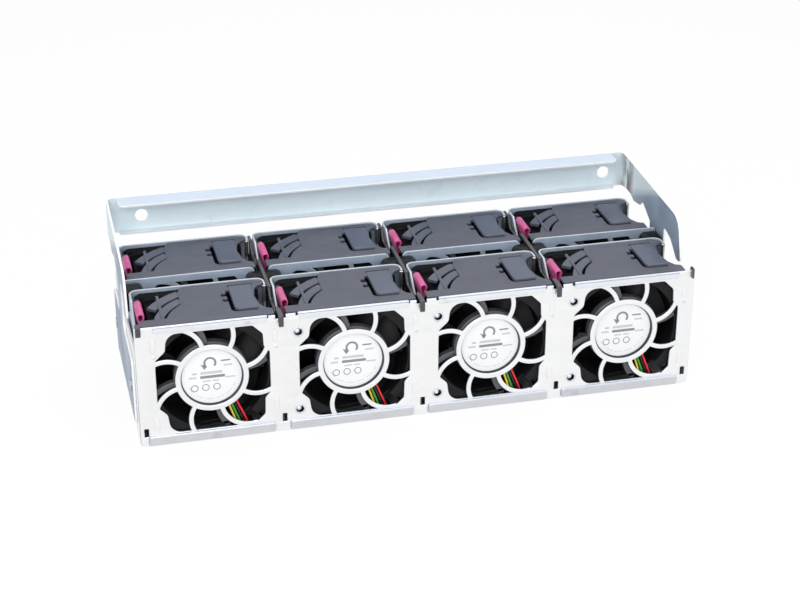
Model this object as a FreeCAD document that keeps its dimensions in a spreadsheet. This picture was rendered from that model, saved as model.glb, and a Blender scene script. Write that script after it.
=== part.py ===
import FreeCAD, Part
import math
import os
import Sketcher

# Server fan cage: eight hot-plug fan modules, four columns in two rows, stand in a folded sheet-metal
# cage that a rear cross rail with two side plates carries. X runs along the cage, Y from the front
# panel to the rear rail, Z up. The origin is under the middle of the cage, on its base.

COLUMNS = 4
ROWS = 2
BLADES = 7
SPOKES = 8
STRUTS = 4
LEADS = 4

# Round edges of sheet and moulded pieces are stood in for by chords.
ROUND_SIDES = 20
SMALL_SIDES = 8
CHORD_TURN = 46.0

# Driving sizes in millimetres. A text is a formula on the others, worked out by the sheet.
SIZES = {
    # cage layout
    "bay_room": 12.0,
    "column_pitch": "=fan_size + bay_room",
    "row_pitch": 56.0,
    "fan_lift": 5.0,
    "hub_height": "=fan_size / 2 + fan_lift",
    "end_room": 1.35,
    "panel_margin": "=column_pitch / 2 + end_room",
    "lid_room": 1.8,
    "panel_height": "=fan_size + fan_lift + lid_room",
    "sheet_gauge": 1.0,
    "corner_chamfer": 4.0,
    # finger guards, measured from the fan's axis
    "guard_rim": 3.0,
    "opening_left": "=fan_size / 2 - guard_rim",
    "opening_right": "=opening_left - 0.5",
    "opening_top": "=opening_left - 0.4",
    "opening_base": "=opening_left + 1.7",
    "side_step": 2.7,
    "step_half": 11.2,
    "step_slope": 3.4,
    "opening_chamfer": 4.9,
    "lobe_radius": 6.0,
    "boss_width": 5.7,
    "boss_half": "=opening_top - 1.6 * lobe_radius",
    "boss_slope": 5.4,
    "ring_radius": 18.5,
    "ring_bore": 15.7,
    "spoke_width": 2.5,
    "spoke_bend": 14.0,
    "spoke_start": 14.0,
    # hems, windows and countersinks of the front panel
    "hem_proud": 0.9,
    "hem_height": 3.8,
    "hem_left": "=column_pitch / 2 - 3",
    "hem_right": "=column_pitch / 2 - 7",
    "base_hem_height": 5.0,
    "base_hem_lift": 0.6,
    "notch_width": 5.0,
    "tab_window_width": 2.2,
    "tab_window_height": 4.6,
    "tab_window_drop": 27.3,
    "dimple_offset": "=opening_left - 0.6",
    "dimple_top": "=boss_half + 3.4",
    "dimple_base": "=boss_half + 6.1",
    "dimple_bore": 1.9,
    "dimple_mouth": 3.1,
    # back walls
    "duct_rim": 1.5,
    "duct_bore": "=fan_size / 2 - duct_rim",
    "wall_bend": 4.5,
    "return_length": 29.0,
    "wall_clear": 0.2,
    "return_clear": 0.65,
    "right_return_length": 8.0,
    "strap_height": "=panel_height - 11.8",
    # floor tray
    "tray_end_height": "=panel_height - 14.8",
    "seat_gap": 0.3,
    "seat_width": 3.0,
    # dividers, clips and spacers
    "divider_gauge": 1.6,
    "strip_width": 2.6,
    "strip_depth": 2.2,
    "hook_gap": 0.2,
    "hook_gauge": 1.1,
    "hook_drop": 6.0,
    "part_gap": 0.3,
    "spacer_width": 19.0,
    "spacer_height": 15.0,
    "spacer_top": "=panel_height - 4.5",
    # carrier bracket
    "bracket_gauge": 1.2,
    "bracket_fit": 0.1,
    "bracket_bend": 4.0,
    "rail_gap": 15.6,
    "rail_rise": 21.2,
    "rail_top": "=panel_height + rail_rise",
    "rail_width": 20.5,
    "rail_base": "=rail_top - rail_width",
    "rail_flange": 13.6,
    "rail_lip": 4.6,
    "rail_flange_inset": 5.6,
    "rail_flange_corner": 4.0,
    "rail_hole_radius": 3.5,
    "rail_hole_height": "=rail_top - 11.5",
    "rail_hole_left": 18.7,
    "rail_hole_right": 12.4,
    "nose_start": 27.6,
    "nose_tip": 21.0,
    "nose_drop": 6.9,
    "nose_height": "=rail_base - nose_drop",
    "nose_width": 6.0,
    "arm_front": 83.9,
    "arm_window": "=rail_base + 3.3",
    "leg_front": 46.4,
    "leg_back": 67.5,
    "side_base": 8.0,
    "side_height": 44.0,
    "side_front": 10.0,
    "rivet_radius": 1.8,
    "rivet_head": 3.0,
    "rivet_rise": 0.7,
    # fan modules
    "module_gap": 0.6,
    "module_depth": 40.2,
    "fan_size": 60.0,
    "fan_depth": 38.0,
    "fan_inset": 0.4,
    "fan_chamfer": 2.5,
    "flange_gauge": 4.0,
    "duct_wall": 1.1,
    "base_radius": 18.3,
    "base_depth": 5.0,
    "strut_width": 3.0,
    "strut_depth": 4.0,
    "strut_bend": 22.0,
    "strut_start": 8.0,
    "shaft_radius": 1.5,
    "shaft_fit": 0.05,
    "shaft_reach": 3.0,
    "cup_gap": 0.4,
    "cup_radius": 16.8,
    "cup_depth": 28.0,
    "tip_gap": 0.8,
    "blade_inset": 2.0,
    "blade_depth": 23.0,
    "blade_gauge": 1.5,
    "blade_chord": 15.0,
    # top cover
    "cover_left": "=fan_size / 2 + 3.6",
    "cover_right": "=cover_left - 1",
    "cover_gauge": 1.4,
    "cover_gap": 0.1,
    "recess_front": 6.9,
    "recess_back": 36.3,
    "plateau_left": "=cover_left - 22.3",
    "grille_left": "=cover_left - 5.4",
    "grille_reach": 41.1,
    "arc_centre_side": "=grille_reach - cover_left",
    "arc_centre_depth": -1.3,
    "arc_outer": 41.2,
    "slot_one_outer": 37.2,
    "slot_one_inner": 34.4,
    "slot_two_outer": 30.8,
    "slot_two_inner": 28.6,
    "rib_left": "=cover_left - 10.2",
    "rib_width": 1.6,
    "paddle_left": "=cover_right - 18.2",
    "paddle_right": "=cover_right - 5.4",
    "paddle_front": 8.4,
    "paddle_back": 35.2,
    "groove_width": 1.9,
    "grip_right": "=cover_right - 1",
    # release latch
    "latch_offset": "=fan_size / 2 + 2.2",
    "latch_width": 4.0,
    "latch_wall": 0.9,
    "latch_drop": 7.2,
    "latch_rise": "=fan_size / 2 + 2.3",
    "latch_front": 12.6,
    "latch_length": 15.5,
    "leg_length": 10.0,
    "leg_gauge": 1.0,
    "pivot_height": -2.0,
    "pivot_radius": 1.4,
    "pin_radius": 0.8,
    "pin_fit": 0.05,
    "lug_gauge": 2.2,
    "lug_reach": 1.7,
    # leads, plug and socket
    "lead_radius": 0.55,
    "lead_pitch": 1.8,
    "lead_depth": 1.9,
    "plug_side": 10.6,
    "plug_width": 8.6,
    "plug_front": 1.2,
    "plug_length": 8.0,
    "plug_height": 2.9,
    "socket_wall": 1.0,
    "socket_floor": 0.8,
}

doc = FreeCAD.newDocument("FanCage")
sheet = doc.addObject("Spreadsheet::Sheet", "Sizes")
for row, alias in enumerate(SIZES, start=1):
    sheet.set(f"A{row}", alias)
    sheet.setAlias(f"B{row}", alias)
for row, content in enumerate(SIZES.values(), start=1):
    sheet.set(f"B{row}", str(content))
doc.recompute()

# Places worked out from the driving sizes, written once as expressions.
PANEL_HALF = f"({(COLUMNS - 1) / 2} * Sizes.column_pitch + Sizes.panel_margin)"
WALL_HALF = f"({PANEL_HALF} - Sizes.sheet_gauge - Sizes.wall_clear)"
MODULE_FRONT = "(Sizes.sheet_gauge + Sizes.module_gap)"
WALL_FRONT = f"({MODULE_FRONT} + Sizes.module_depth + Sizes.module_gap)"
WALL_BACK = f"({WALL_FRONT} + Sizes.sheet_gauge)"
CAGE_BACK = f"({ROWS - 1} * Sizes.row_pitch + {WALL_BACK})"
WEB_FRONT = f"({CAGE_BACK} + Sizes.rail_gap)"
WEB_BACK = f"({WEB_FRONT} + Sizes.bracket_gauge)"
HOOK_FRONT = "(-Sizes.hem_proud - Sizes.hook_gap - Sizes.hook_gauge)"
MID_DEPTH = f"(({WEB_BACK} + {HOOK_FRONT}) / 2)"
SIDE_INNER = f"({PANEL_HALF} + Sizes.bracket_fit)"
SIDE_OUTER = f"({SIDE_INNER} + Sizes.bracket_gauge)"
STRIP_TOP = "(Sizes.panel_height - Sizes.part_gap)"
FAN_HALF = "(Sizes.fan_size / 2)"
FAN_BACK = "(Sizes.fan_inset + Sizes.fan_depth)"
COVER_BASE = f"({FAN_HALF} + Sizes.cover_gap)"
COVER_TOP = f"({COVER_BASE} + Sizes.cover_gauge)"
BASE_BACK = "(Sizes.fan_inset + Sizes.base_depth)"
CUP_FRONT = f"({BASE_BACK} + Sizes.cup_gap)"
DUCT_OUTER = "(Sizes.duct_bore + Sizes.duct_wall)"


def size(text):
    """Number that an expression or an alias of the sheet stands for."""
    text = text if "Sizes." in text or "(" in text else f"Sizes.{text}"
    return float(sheet.evalExpression(text))


def column_centres():
    return [(column - (COLUMNS - 1) / 2) * size("column_pitch") for column in range(COLUMNS)]


def boundaries():
    """Middles between neighbouring columns."""
    return [(column + 1 - COLUMNS / 2) * size("column_pitch") for column in range(COLUMNS - 1)]


# ---- outlines and solids ------------------------------------------------------------------------


def bent(before, here, after, radius):
    """Points along the round that replaces one corner."""
    inward = (before - here).normalize()
    onward = (after - here).normalize()
    half = inward.getAngle(onward) / 2
    start = here + inward * (radius / math.tan(half))
    centre = here + (inward + onward).normalize() * (radius / math.sin(half))
    turn = math.pi - 2 * half
    sign = 1 if inward.cross(onward).z < 0 else -1
    steps = max(1, math.ceil(math.degrees(turn) / CHORD_TURN))
    arm = start - centre
    spin = [FreeCAD.Rotation(FreeCAD.Vector(0, 0, 1), math.degrees(sign * turn) * step / steps)
            for step in range(steps + 1)]
    return [centre + turned.multVec(arm) for turned in spin]


def outline(points):
    """Closed wire in the XY plane through (x, y) or (x, y, corner radius) points."""
    count = len(points)
    path = []
    for index, point in enumerate(points):
        here = FreeCAD.Vector(point[0], point[1], 0)
        if len(point) < 3 or point[2] <= 0:
            path.append(here)
            continue
        before = FreeCAD.Vector(*points[index - 1][:2], 0)
        after = FreeCAD.Vector(*points[(index + 1) % count][:2], 0)
        path += bent(before, here, after, point[2])
    kept = [place for index, place in enumerate(path) if place.distanceToPoint(path[index - 1]) > 1e-6]
    return Part.makePolygon(kept + kept[:1])


def face(points):
    return Part.Face(outline(points))


def rectangle(left, right, low, high):
    return face([(left, low), (right, low), (right, high), (left, high)])


def disc(centre, radius, sides=ROUND_SIDES):
    """Round face about a centre, with its chords' corners on the circle."""
    turns = [2 * math.pi * (side + 0.5) / sides for side in range(sides)]
    return face([(centre[0] + radius * math.cos(t), centre[1] + radius * math.sin(t)) for t in turns])


def bar(centre, radius, length, sides=SMALL_SIDES):
    """Round bar along +Y from its centre point."""
    solid = facing(disc((0, 0), radius, sides), 0, length)
    solid.translate(FreeCAD.Vector(*centre))
    return solid


def raised(flat, low, high):
    """Flat face in plan, standing between two heights."""
    solid = flat.extrude(FreeCAD.Vector(0, 0, high - low))
    solid.translate(FreeCAD.Vector(0, 0, low))
    return solid


def facing(flat, front, back):
    """Flat face drawn as (x, z), turned upright and running from front to back along Y."""
    solid = flat.extrude(FreeCAD.Vector(0, 0, front - back))
    solid.rotate(FreeCAD.Vector(0, 0, 0), FreeCAD.Vector(1, 0, 0), 90)
    solid.translate(FreeCAD.Vector(0, front, 0))
    return solid


def sideways(flat, left, right):
    """Flat face drawn as (y, z), turned upright and running from left to right along X."""
    left, right = min(left, right), max(left, right)
    solid = flat.extrude(FreeCAD.Vector(0, 0, right - left))
    turn = FreeCAD.Rotation(FreeCAD.Vector(0, 1, 0), FreeCAD.Vector(0, 0, 1), FreeCAD.Vector(1, 0, 0))
    solid.Placement = FreeCAD.Placement(FreeCAD.Vector(left, 0, 0), turn)
    return solid


def feature(name, shape):
    made = doc.addObject("Part::Feature", name)
    made.Shape = shape
    return made


def box(name, corner, extent):
    made = doc.addObject("Part::Box", name)
    for prop, text in zip(("Length", "Width", "Height"), extent):
        made.setExpression(prop, text)
    for axis, text in zip("xyz", corner):
        made.setExpression(f"Placement.Base.{axis}", text)
    return made


def rod(name, centre, radius, length, sides=ROUND_SIDES):
    """Bar along +Y from its centre point, truly round if it has no sides."""
    made = doc.addObject("Part::Prism" if sides else "Part::Cylinder", name)
    if sides:
        made.Polygon = sides
    made.setExpression("Circumradius" if sides else "Radius", radius)
    made.setExpression("Height", length)
    made.Placement.Rotation = FreeCAD.Rotation(FreeCAD.Vector(1, 0, 0), -90)
    for axis, text in zip("xyz", centre):
        made.setExpression(f"Placement.Base.{axis}", text)
    return made


def fused(name, pieces):
    made = doc.addObject("Part::MultiFuse", name)
    made.Shapes = pieces
    return made


def cut(name, base, tools):
    made = doc.addObject("Part::Cut", name)
    made.Base = base
    if len(tools) == 1:
        made.Tool = tools[0]
        return made
    group = doc.addObject("Part::Compound", f"{name}_tools")
    group.Links = tools
    made.Tool = group
    return made


def sketched(body, name, role, points, offset=None):
    """Closed sketch on one of the body's planes, every corner bound to the sheet."""
    sketch = body.newObject("Sketcher::SketchObject", name)
    plane = next(item for item in body.Origin.OriginFeatures if item.Role == role)
    sketch.AttachmentSupport = [(plane, "")]
    sketch.MapMode = "FlatFace"
    if offset:
        sketch.setExpression("AttachmentOffset.Base.z", offset)
    places = [(size(f"({x})"), size(f"({y})")) for x, y in points]
    count = len(places)
    for index, (x, y) in enumerate(places):
        ahead = places[(index + 1) % count]
        line = Part.LineSegment(FreeCAD.Vector(x, y, 0), FreeCAD.Vector(*ahead, 0))
        sketch.addGeometry(line, False)
    for index in range(count):
        sketch.addConstraint(Sketcher.Constraint("Coincident", index, 2, (index + 1) % count, 1))
    for index, texts in enumerate(points):
        for kind, number, text in zip(("DistanceX", "DistanceY"), places[index], texts):
            place = sketch.addConstraint(Sketcher.Constraint(kind, index, 1, number))
            sketch.setExpression(f"Constraints[{place}]", text)
    return sketch


def padded(body, sketch, length, reverse=False):
    pad = body.newObject("PartDesign::Pad", f"{sketch.Name}_pad")
    pad.Profile = sketch
    pad.setExpression("Length", length)
    pad.Reversed = reverse
    return pad


def pocketed(body, sketch, length, reverse=False):
    doc.recompute()
    before = body.Shape.Volume
    pocket = body.newObject("PartDesign::Pocket", f"{sketch.Name}_pocket")
    pocket.Profile = sketch
    pocket.setExpression("Length", length)
    pocket.Reversed = reverse
    doc.recompute()
    if body.Shape.Volume >= before:
        raise RuntimeError(f"{sketch.Name} removes nothing")
    return pocket


NODES = []


def settle(made, label):
    """Name a finished sub-part and move it so that the cage's middle is over the origin."""
    made.Label = label
    made.setExpression("Placement.Base.y", f"-{MID_DEPTH}")
    NODES.append(made)
    return made


def faceted(sections):
    """Solid with flat facets through rings of four corners each."""
    faces = [Part.Face(Part.makePolygon(ring + ring[:1])) for ring in (sections[0], sections[-1])]
    for near, far in zip(sections, sections[1:]):
        for index in range(4):
            ahead = (index + 1) % 4
            for corners in (
                [near[index], near[ahead], far[ahead]],
                [near[index], far[ahead], far[index]],
            ):
                faces.append(Part.Face(Part.makePolygon(corners + corners[:1])))
    solid = Part.Solid(Part.Shell(faces))
    if solid.Volume < 0:
        solid.reverse()
    return solid


# ---- finger guard -------------------------------------------------------------------------------


def swept_strip(start_radius, width, bend, angle, chords):
    """Curved strip that leaves a ring square to it and bends round, drawn about the fan's axis."""
    sweep = math.radians(82)
    inner = bend - width / 2
    outer = bend + width / 2

    def at(radius, turn):
        return (start_radius + radius * math.sin(turn), bend - radius * math.cos(turn))

    turns = [sweep * step / chords for step in range(chords + 1)]
    far = [at(outer, turn) for turn in turns]
    near = [at(inner, turn) for turn in reversed(turns)]
    root = start_radius - width
    strip = face([(root, bend - outer)] + far + near + [(root, bend - inner)])
    strip.rotate(FreeCAD.Vector(0, 0, 0), FreeCAD.Vector(0, 0, 1), angle)
    return strip


def guard_outline():
    """Opening of one finger guard: bosses at the left corners, stepped right side."""
    left = -size("opening_left")
    right = size("opening_right")
    top = size("opening_top")
    base = -size("opening_base")
    lobe = size("lobe_radius")
    boss = left + size("boss_width")
    shoulder = size("boss_half")
    slope = size("boss_slope")
    step = right + size("side_step")
    half = size("step_half")
    fall = size("step_slope")
    chamfer = size("opening_chamfer")
    return face([
        (left, shoulder - slope),
        (boss - 1, shoulder, 2.0),
        (boss, top, lobe),
        (right - chamfer, top),
        (right, top - chamfer),
        (right, half + fall),
        (step, half),
        (step, -half),
        (right, -half - fall),
        (right, base + chamfer),
        (right - chamfer, base),
        (boss, base, lobe),
        (boss - 1, -shoulder, 2.0),
        (left, slope - shoulder),
    ])


def guard_openings(chords, sides):
    """Everything pressed out of a guard wall, for all columns."""
    ring = size("ring_radius")
    strips = [disc((0, 0), ring, sides)]
    for spoke in range(SPOKES):
        angle = size("spoke_start") + spoke * 360 / SPOKES
        strips.append(swept_strip(ring, size("spoke_width"), size("spoke_bend"), angle, chords))
    petals = guard_outline().cut(strips).Faces
    holes = petals + [disc((0, 0), size("ring_bore"), sides)]
    gauge = size("sheet_gauge")
    solids = []
    for middle in column_centres():
        for hole in holes:
            solid = facing(hole, -gauge, 2 * gauge)
            solid.translate(FreeCAD.Vector(middle, 0, size("hub_height")))
            solids.append(solid)
    return Part.Compound(solids)


guard_cutters = feature("Guard_cutters", guard_openings(3, ROUND_SIDES + 4))


# ---- front panel --------------------------------------------------------------------------------


def panel_body(name):
    """Sheet with chamfered lower corners, padded towards the back."""
    body = doc.addObject("PartDesign::Body", name)
    corners = [
        (f"-{PANEL_HALF}", "Sizes.corner_chamfer"),
        (f"Sizes.corner_chamfer - {PANEL_HALF}", "0"),
        (f"{PANEL_HALF} - Sizes.corner_chamfer", "0"),
        (PANEL_HALF, "Sizes.corner_chamfer"),
        (PANEL_HALF, "Sizes.panel_height"),
        (f"-{PANEL_HALF}", "Sizes.panel_height"),
    ]
    sketch = sketched(body, f"{name}_outline", "XZ_Plane", corners)
    padded(body, sketch, "Sizes.sheet_gauge", reverse=True)
    return body


def front_hems():
    """Folded hems over the top and along the base of every bay."""
    hems = []
    top = size("panel_height")
    low = size("base_hem_lift")
    for middle in column_centres():
        left = middle - size("hem_left")
        right = middle + size("hem_right")
        upper = face([
            (left, top - size("hem_height"), 1.8),
            (right, top - size("hem_height"), 1.8),
            (right, top),
            (left, top),
        ])
        lower = rectangle(left, right, low, low + size("base_hem_height"))
        hems += [facing(flat, -size("hem_proud"), 0) for flat in (upper, lower)]
    return Part.Compound(hems)


def front_holes():
    """Countersunk holes left of the second to fourth fans, windows and notches at the dividers."""
    gauge = size("sheet_gauge")
    bore = size("dimple_bore")
    mouth = size("dimple_mouth")
    solids = []
    for middle in column_centres()[1:]:
        for height in (size("dimple_top"), -size("dimple_base")):
            place = (middle - size("dimple_offset"), -gauge / 2, size("hub_height") + height)
            solids.append(bar(place, bore, 2 * gauge))
            rims = []
            for radius, depth in ((mouth, 0), (bore, 0.7 * gauge)):
                rim = disc((0, 0), radius, SMALL_SIDES).OuterWire
                rim.rotate(FreeCAD.Vector(0, 0, 0), FreeCAD.Vector(1, 0, 0), 90)
                rim.translate(FreeCAD.Vector(place[0], depth, place[2]))
                rims.append(rim)
            solids.append(Part.makeLoft(rims, True, True))
    low = size("hub_height") - size("tab_window_drop") - size("tab_window_height") / 2
    half = size("tab_window_width") / 2
    edge = size(PANEL_HALF)
    for middle in boundaries() + [half * 2 - edge + gauge, edge - half * 2 - gauge]:
        window = rectangle(middle - half, middle + half, low, low + size("tab_window_height"))
        solids.append(facing(window, -gauge, 2 * gauge))
    return Part.Compound(solids)


def strip_notches(front, back, low):
    """Notches for the dividers' top strips in one wall."""
    half = size("notch_width") / 2
    top = size("panel_height") + 1
    cuts = []
    for middle in boundaries():
        centre = middle - size("divider_gauge") / 2
        cuts.append(facing(rectangle(centre - half, centre + half, low, top), front, back))
    return Part.Compound(cuts)


STRIP_BASE = size(STRIP_TOP) - size("strip_depth") - size("part_gap")
front_notches = feature("Front_notches", strip_notches(-3, size("sheet_gauge") + 1, STRIP_BASE))
front_sheet = fused("Front_sheet", [panel_body("Front_plate"), feature("Front_hems", front_hems())])
front_panel = cut(
    "Front_panel",
    front_sheet,
    [guard_cutters, feature("Front_holes", front_holes()), front_notches],
)
settle(front_panel, "front_guard_panel")


# ---- mid guard wall and back walls --------------------------------------------------------------


def wall_plate(name, depth):
    return box(
        name,
        (f"-{WALL_HALF}", depth, "Sizes.sheet_gauge"),
        (f"2 * {WALL_HALF}", "Sizes.sheet_gauge", "Sizes.panel_height - Sizes.sheet_gauge"),
    )


mid_cutters = feature("Mid_cutters", guard_openings(2, ROUND_SIDES - 4))
mid_cutters.setExpression("Placement.Base.y", "Sizes.row_pitch")
mid_notches = feature(
    "Mid_notches",
    strip_notches(size("row_pitch") - 1, size("row_pitch") + size("sheet_gauge") + 1, STRIP_BASE),
)
mid_panel = cut("Mid_panel", wall_plate("Mid_plate", "Sizes.row_pitch"), [mid_cutters, mid_notches])
settle(mid_panel, "mid_guard_panel")


def bay_returns():
    """Back wall of every bay, its returns parted from it at their folds, with straps between the bays."""
    gauge = size("sheet_gauge")
    back = size(WALL_BACK)
    bend = size("wall_bend")
    half_pitch = size("column_pitch") / 2
    outer_left = size("return_clear") - half_pitch
    outer_right = half_pitch - size("divider_gauge") - size("return_clear")
    low = gauge
    top = size("panel_height")
    solids = []
    for middle in column_centres():
        left = middle + outer_left
        right = middle + outer_right
        front = back - size("return_length")
        shell = face([(left, front), (right, front), (right, back, bend), (left, back, bend)])
        hollow = face([
            (left + gauge, front - 1),
            (right - gauge, front - 1),
            (right - gauge, back - gauge, bend - gauge),
            (left + gauge, back - gauge, bend - gauge),
        ])
        wall = raised(shell.cut(hollow), low, top)
        stop = back - size("right_return_length")
        wall = wall.cut(raised(rectangle(middle, right + 1, front - 1, stop), 0, top + 1))
        slope = face([
            (front - 1, top + 1),
            (front - 1, top - 14),
            (front + 6, top - 10, 6),
            (front + 17, top + 1),
        ])
        wall = wall.cut(sideways(slope, left - 1, left + gauge + 1))
        solids.append(wall)
    strap = raised(rectangle(-size(WALL_HALF), size(WALL_HALF), back - gauge, back), low, size("strap_height"))
    reach = size("column_pitch") / 2 - bend
    across = [raised(rectangle(m - reach, m + reach, 0, back + 1), 0, top) for m in column_centres()]
    solids += strap.cut(solids + across).Solids
    flats = raised(rectangle(-size(WALL_HALF), size(WALL_HALF), 0, back - bend), 0, top + 1)
    walls = []
    for middle, wall in zip(column_centres(), solids):
        place = (middle, back - 2 * gauge, size("hub_height"))
        bored = wall.cut(bar(place, size("duct_bore"), 3 * gauge, ROUND_SIDES))
        walls += bored.common(flats).Solids + bored.cut(flats).Solids
    return Part.Compound(walls + solids[COLUMNS:])


inner_wall = feature("Inner_wall", bay_returns())
settle(inner_wall, "inner_back_wall")
outer_wall = doc.addObject("App::Link", "Outer_wall")
outer_wall.LinkedObject = inner_wall
outer_wall.Label = "outer_back_wall"
outer_wall.setExpression("Placement.Base.y", f"Sizes.row_pitch - {MID_DEPTH}")
NODES.append(outer_wall)


# ---- floor tray and sockets ---------------------------------------------------------------------


def floor_tray():
    """Floor with turned-up ends and low ribs that the modules stand on."""
    gauge = "Sizes.sheet_gauge"
    depth = f"({CAGE_BACK} - {gauge})"
    floor = box("Floor", (f"-{PANEL_HALF}", gauge, "0"), (f"2 * {PANEL_HALF}", depth, gauge))
    pieces = []
    for side, corner in (("left", f"-{PANEL_HALF}"), ("right", f"{PANEL_HALF} - {gauge}")):
        extent = (gauge, depth, f"Sizes.tray_end_height - {gauge}")
        pieces.append(box(f"Tray_{side}", (corner, gauge, gauge), extent))
    rise = f"(Sizes.hub_height - {FAN_HALF} - Sizes.seat_gap - {gauge})"
    front_rib = f"({MODULE_FRONT} + Sizes.fan_inset + (Sizes.flange_gauge - Sizes.seat_width) / 2)"
    back_rib = f"({front_rib} + Sizes.fan_depth - Sizes.flange_gauge)"
    reach = "Sizes.fan_size / 2 - Sizes.fan_chamfer"
    front_length = f"{reach} + Sizes.plug_side - Sizes.socket_wall - 2 * Sizes.part_gap"
    for row in range(ROWS):
        for column in range(COLUMNS):
            left = f"{column - (COLUMNS - 1) / 2} * Sizes.column_pitch - ({reach})"
            for end, depth_at, length in (
                ("front", front_rib, front_length),
                ("back", back_rib, f"2 * ({reach})"),
            ):
                corner = (left, f"{row} * Sizes.row_pitch + {depth_at}", gauge)
                name = f"Rib_{end}_{row}_{column}"
                pieces.append(box(name, corner, (length, "Sizes.seat_width", rise)))
    cable_holes = []
    inset = size("socket_wall") * 2
    for row in range(ROWS):
        depth_at = row * size("row_pitch") + size(MODULE_FRONT) + size("plug_front")
        for middle in column_centres():
            left = middle + size("plug_side")
            hole = rectangle(
                left + inset,
                left + size("plug_width") - inset,
                depth_at + inset,
                depth_at + size("plug_length") - inset,
            )
            cable_holes.append(raised(hole, -1, size("sheet_gauge") + 1))
    base = cut("Tray_base", floor, [feature("Cable_holes", Part.Compound(cable_holes))])
    ends = [cut(f"{end.Name}_drilled", end, [rivet_holes]) for end in pieces[:2]]
    tray = doc.addObject("Part::Compound", "Tray")
    tray.Links = [base] + ends + pieces[2:]
    return tray


def rivet_places():
    """Height and depths of the rivets in each side plate."""
    height = (size("side_base") + size("side_height")) / 2
    inset = 3 * size("rivet_head")
    depths = (size("side_front") + inset, size(CAGE_BACK) - inset)
    return [(depth, height) for depth in depths]


def rivets(radius, head, rise):
    """Rivets through both side plates and the tray's ends, with heads outside."""
    inner = size(PANEL_HALF) - size("sheet_gauge")
    outer = size(SIDE_OUTER)
    solids = []
    for side in (-1, 1):
        for place in rivet_places():
            solid = sideways(disc(place, radius, SMALL_SIDES), side * inner, side * outer)
            if head:
                cap = sideways(disc(place, head, SMALL_SIDES), side * outer, side * (outer + rise))
                solid = solid.fuse(cap)
            solids.append(solid)
    return Part.Compound(solids)


rivet_holes = feature("Rivet_holes", rivets(size("rivet_radius") + size("pin_fit"), 0, 0))
settle(floor_tray(), "floor_tray")
cage_rivets = feature("Rivets", rivets(size("rivet_radius"), size("rivet_head"), size("rivet_rise")))
settle(cage_rivets, "cage_rivets")


def power_sockets():
    """One blind-mate socket under the lower right corner of every module."""
    wall = size("socket_wall")
    gap = size("part_gap")
    floor = size("sheet_gauge")
    top = size("hub_height") - size(FAN_HALF) - 2 * gap
    solids = []
    for row in range(ROWS):
        for middle in column_centres():
            left = middle + size("plug_side") - gap
            right = left + size("plug_width") + 2 * gap
            front = row * size("row_pitch") + size(MODULE_FRONT) + size("plug_front") - gap
            back = front + size("plug_length") + 2 * gap
            shell = raised(rectangle(left - wall, right + wall, front - wall, back + wall), floor, top)
            hollow = raised(rectangle(left, right, front, back), floor + size("socket_floor"), top + 1)
            solids.append(shell.cut(hollow))
    return Part.Compound(solids)


settle(feature("Sockets", power_sockets()), "power_sockets")


# ---- dividers, clips and spacers ----------------------------------------------------------------


def divider_master():
    """Plate in both rows, joined by the top strip that hooks over the front panel."""
    body = doc.addObject("PartDesign::Body", "Divider")
    gap = "Sizes.part_gap"
    front = f"(Sizes.sheet_gauge + {gap})"
    row_back = f"({WALL_FRONT} - {gap})"
    next_front = f"(Sizes.row_pitch + Sizes.sheet_gauge + {gap})"
    next_back = f"(Sizes.row_pitch + {WALL_FRONT} - {gap})"
    low = f"(Sizes.sheet_gauge + {gap})"
    under = f"({STRIP_TOP} - Sizes.strip_depth)"
    corners = [
        (front, low),
        (row_back, low),
        (row_back, under),
        (next_front, under),
        (next_front, low),
        (next_back, low),
        (next_back, STRIP_TOP),
        (front, STRIP_TOP),
    ]
    sketch = sketched(body, "Divider_side", "YZ_Plane", corners)
    padded(body, sketch, "Sizes.divider_gauge")
    strip = doc.addObject("PartDesign::Body", "Divider_strip")
    tab_low = f"({STRIP_TOP} - Sizes.hook_drop)"
    tab_back = f"({HOOK_FRONT} + Sizes.hook_gauge)"
    edge = [
        (HOOK_FRONT, tab_low),
        (tab_back, tab_low),
        (tab_back, under),
        (next_back, under),
        (next_back, STRIP_TOP),
        (HOOK_FRONT, STRIP_TOP),
    ]
    padded(strip, sketched(strip, "Strip_side", "YZ_Plane", edge), "Sizes.strip_width")
    strip.setExpression("Placement.Base.x", "(Sizes.divider_gauge - Sizes.strip_width) / 2")
    return fused("Divider_whole", [body, strip])


divider = divider_master()
doc.recompute()
divider_copies = []
for number, middle in enumerate(boundaries()):
    copy = divider.Shape.copy()
    copy.translate(FreeCAD.Vector(middle - size("divider_gauge"), 0, 0))
    divider_copies.append(copy)
settle(feature("Dividers", Part.Compound(divider_copies)), "bay_dividers")


def end_clips():
    """Clips over both ends of the front panel."""
    top = size("panel_height") + size("part_gap") + size("hook_gauge")
    back = size("sheet_gauge") + size("part_gap")
    front = -size("part_gap")
    gauge = size("hook_gauge")
    profile = face([
        (front - gauge, top, 0.8),
        (front - gauge, top - size("hook_drop")),
        (front, top - size("hook_drop")),
        (front, top - gauge),
        (back, top - gauge),
        (back, top - 1.2 * size("hook_drop")),
        (back + gauge, top - 1.2 * size("hook_drop")),
        (back + gauge, top, 0.8),
    ])
    width = size("strip_width")
    edge = size(PANEL_HALF) - size("sheet_gauge")
    left = sideways(profile, -edge - 0.2, width - edge - 0.2)
    right = sideways(profile, edge - width + 0.2, edge + 0.2)
    return Part.Compound([left, right])


settle(feature("Clips", end_clips()), "end_clips")


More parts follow.
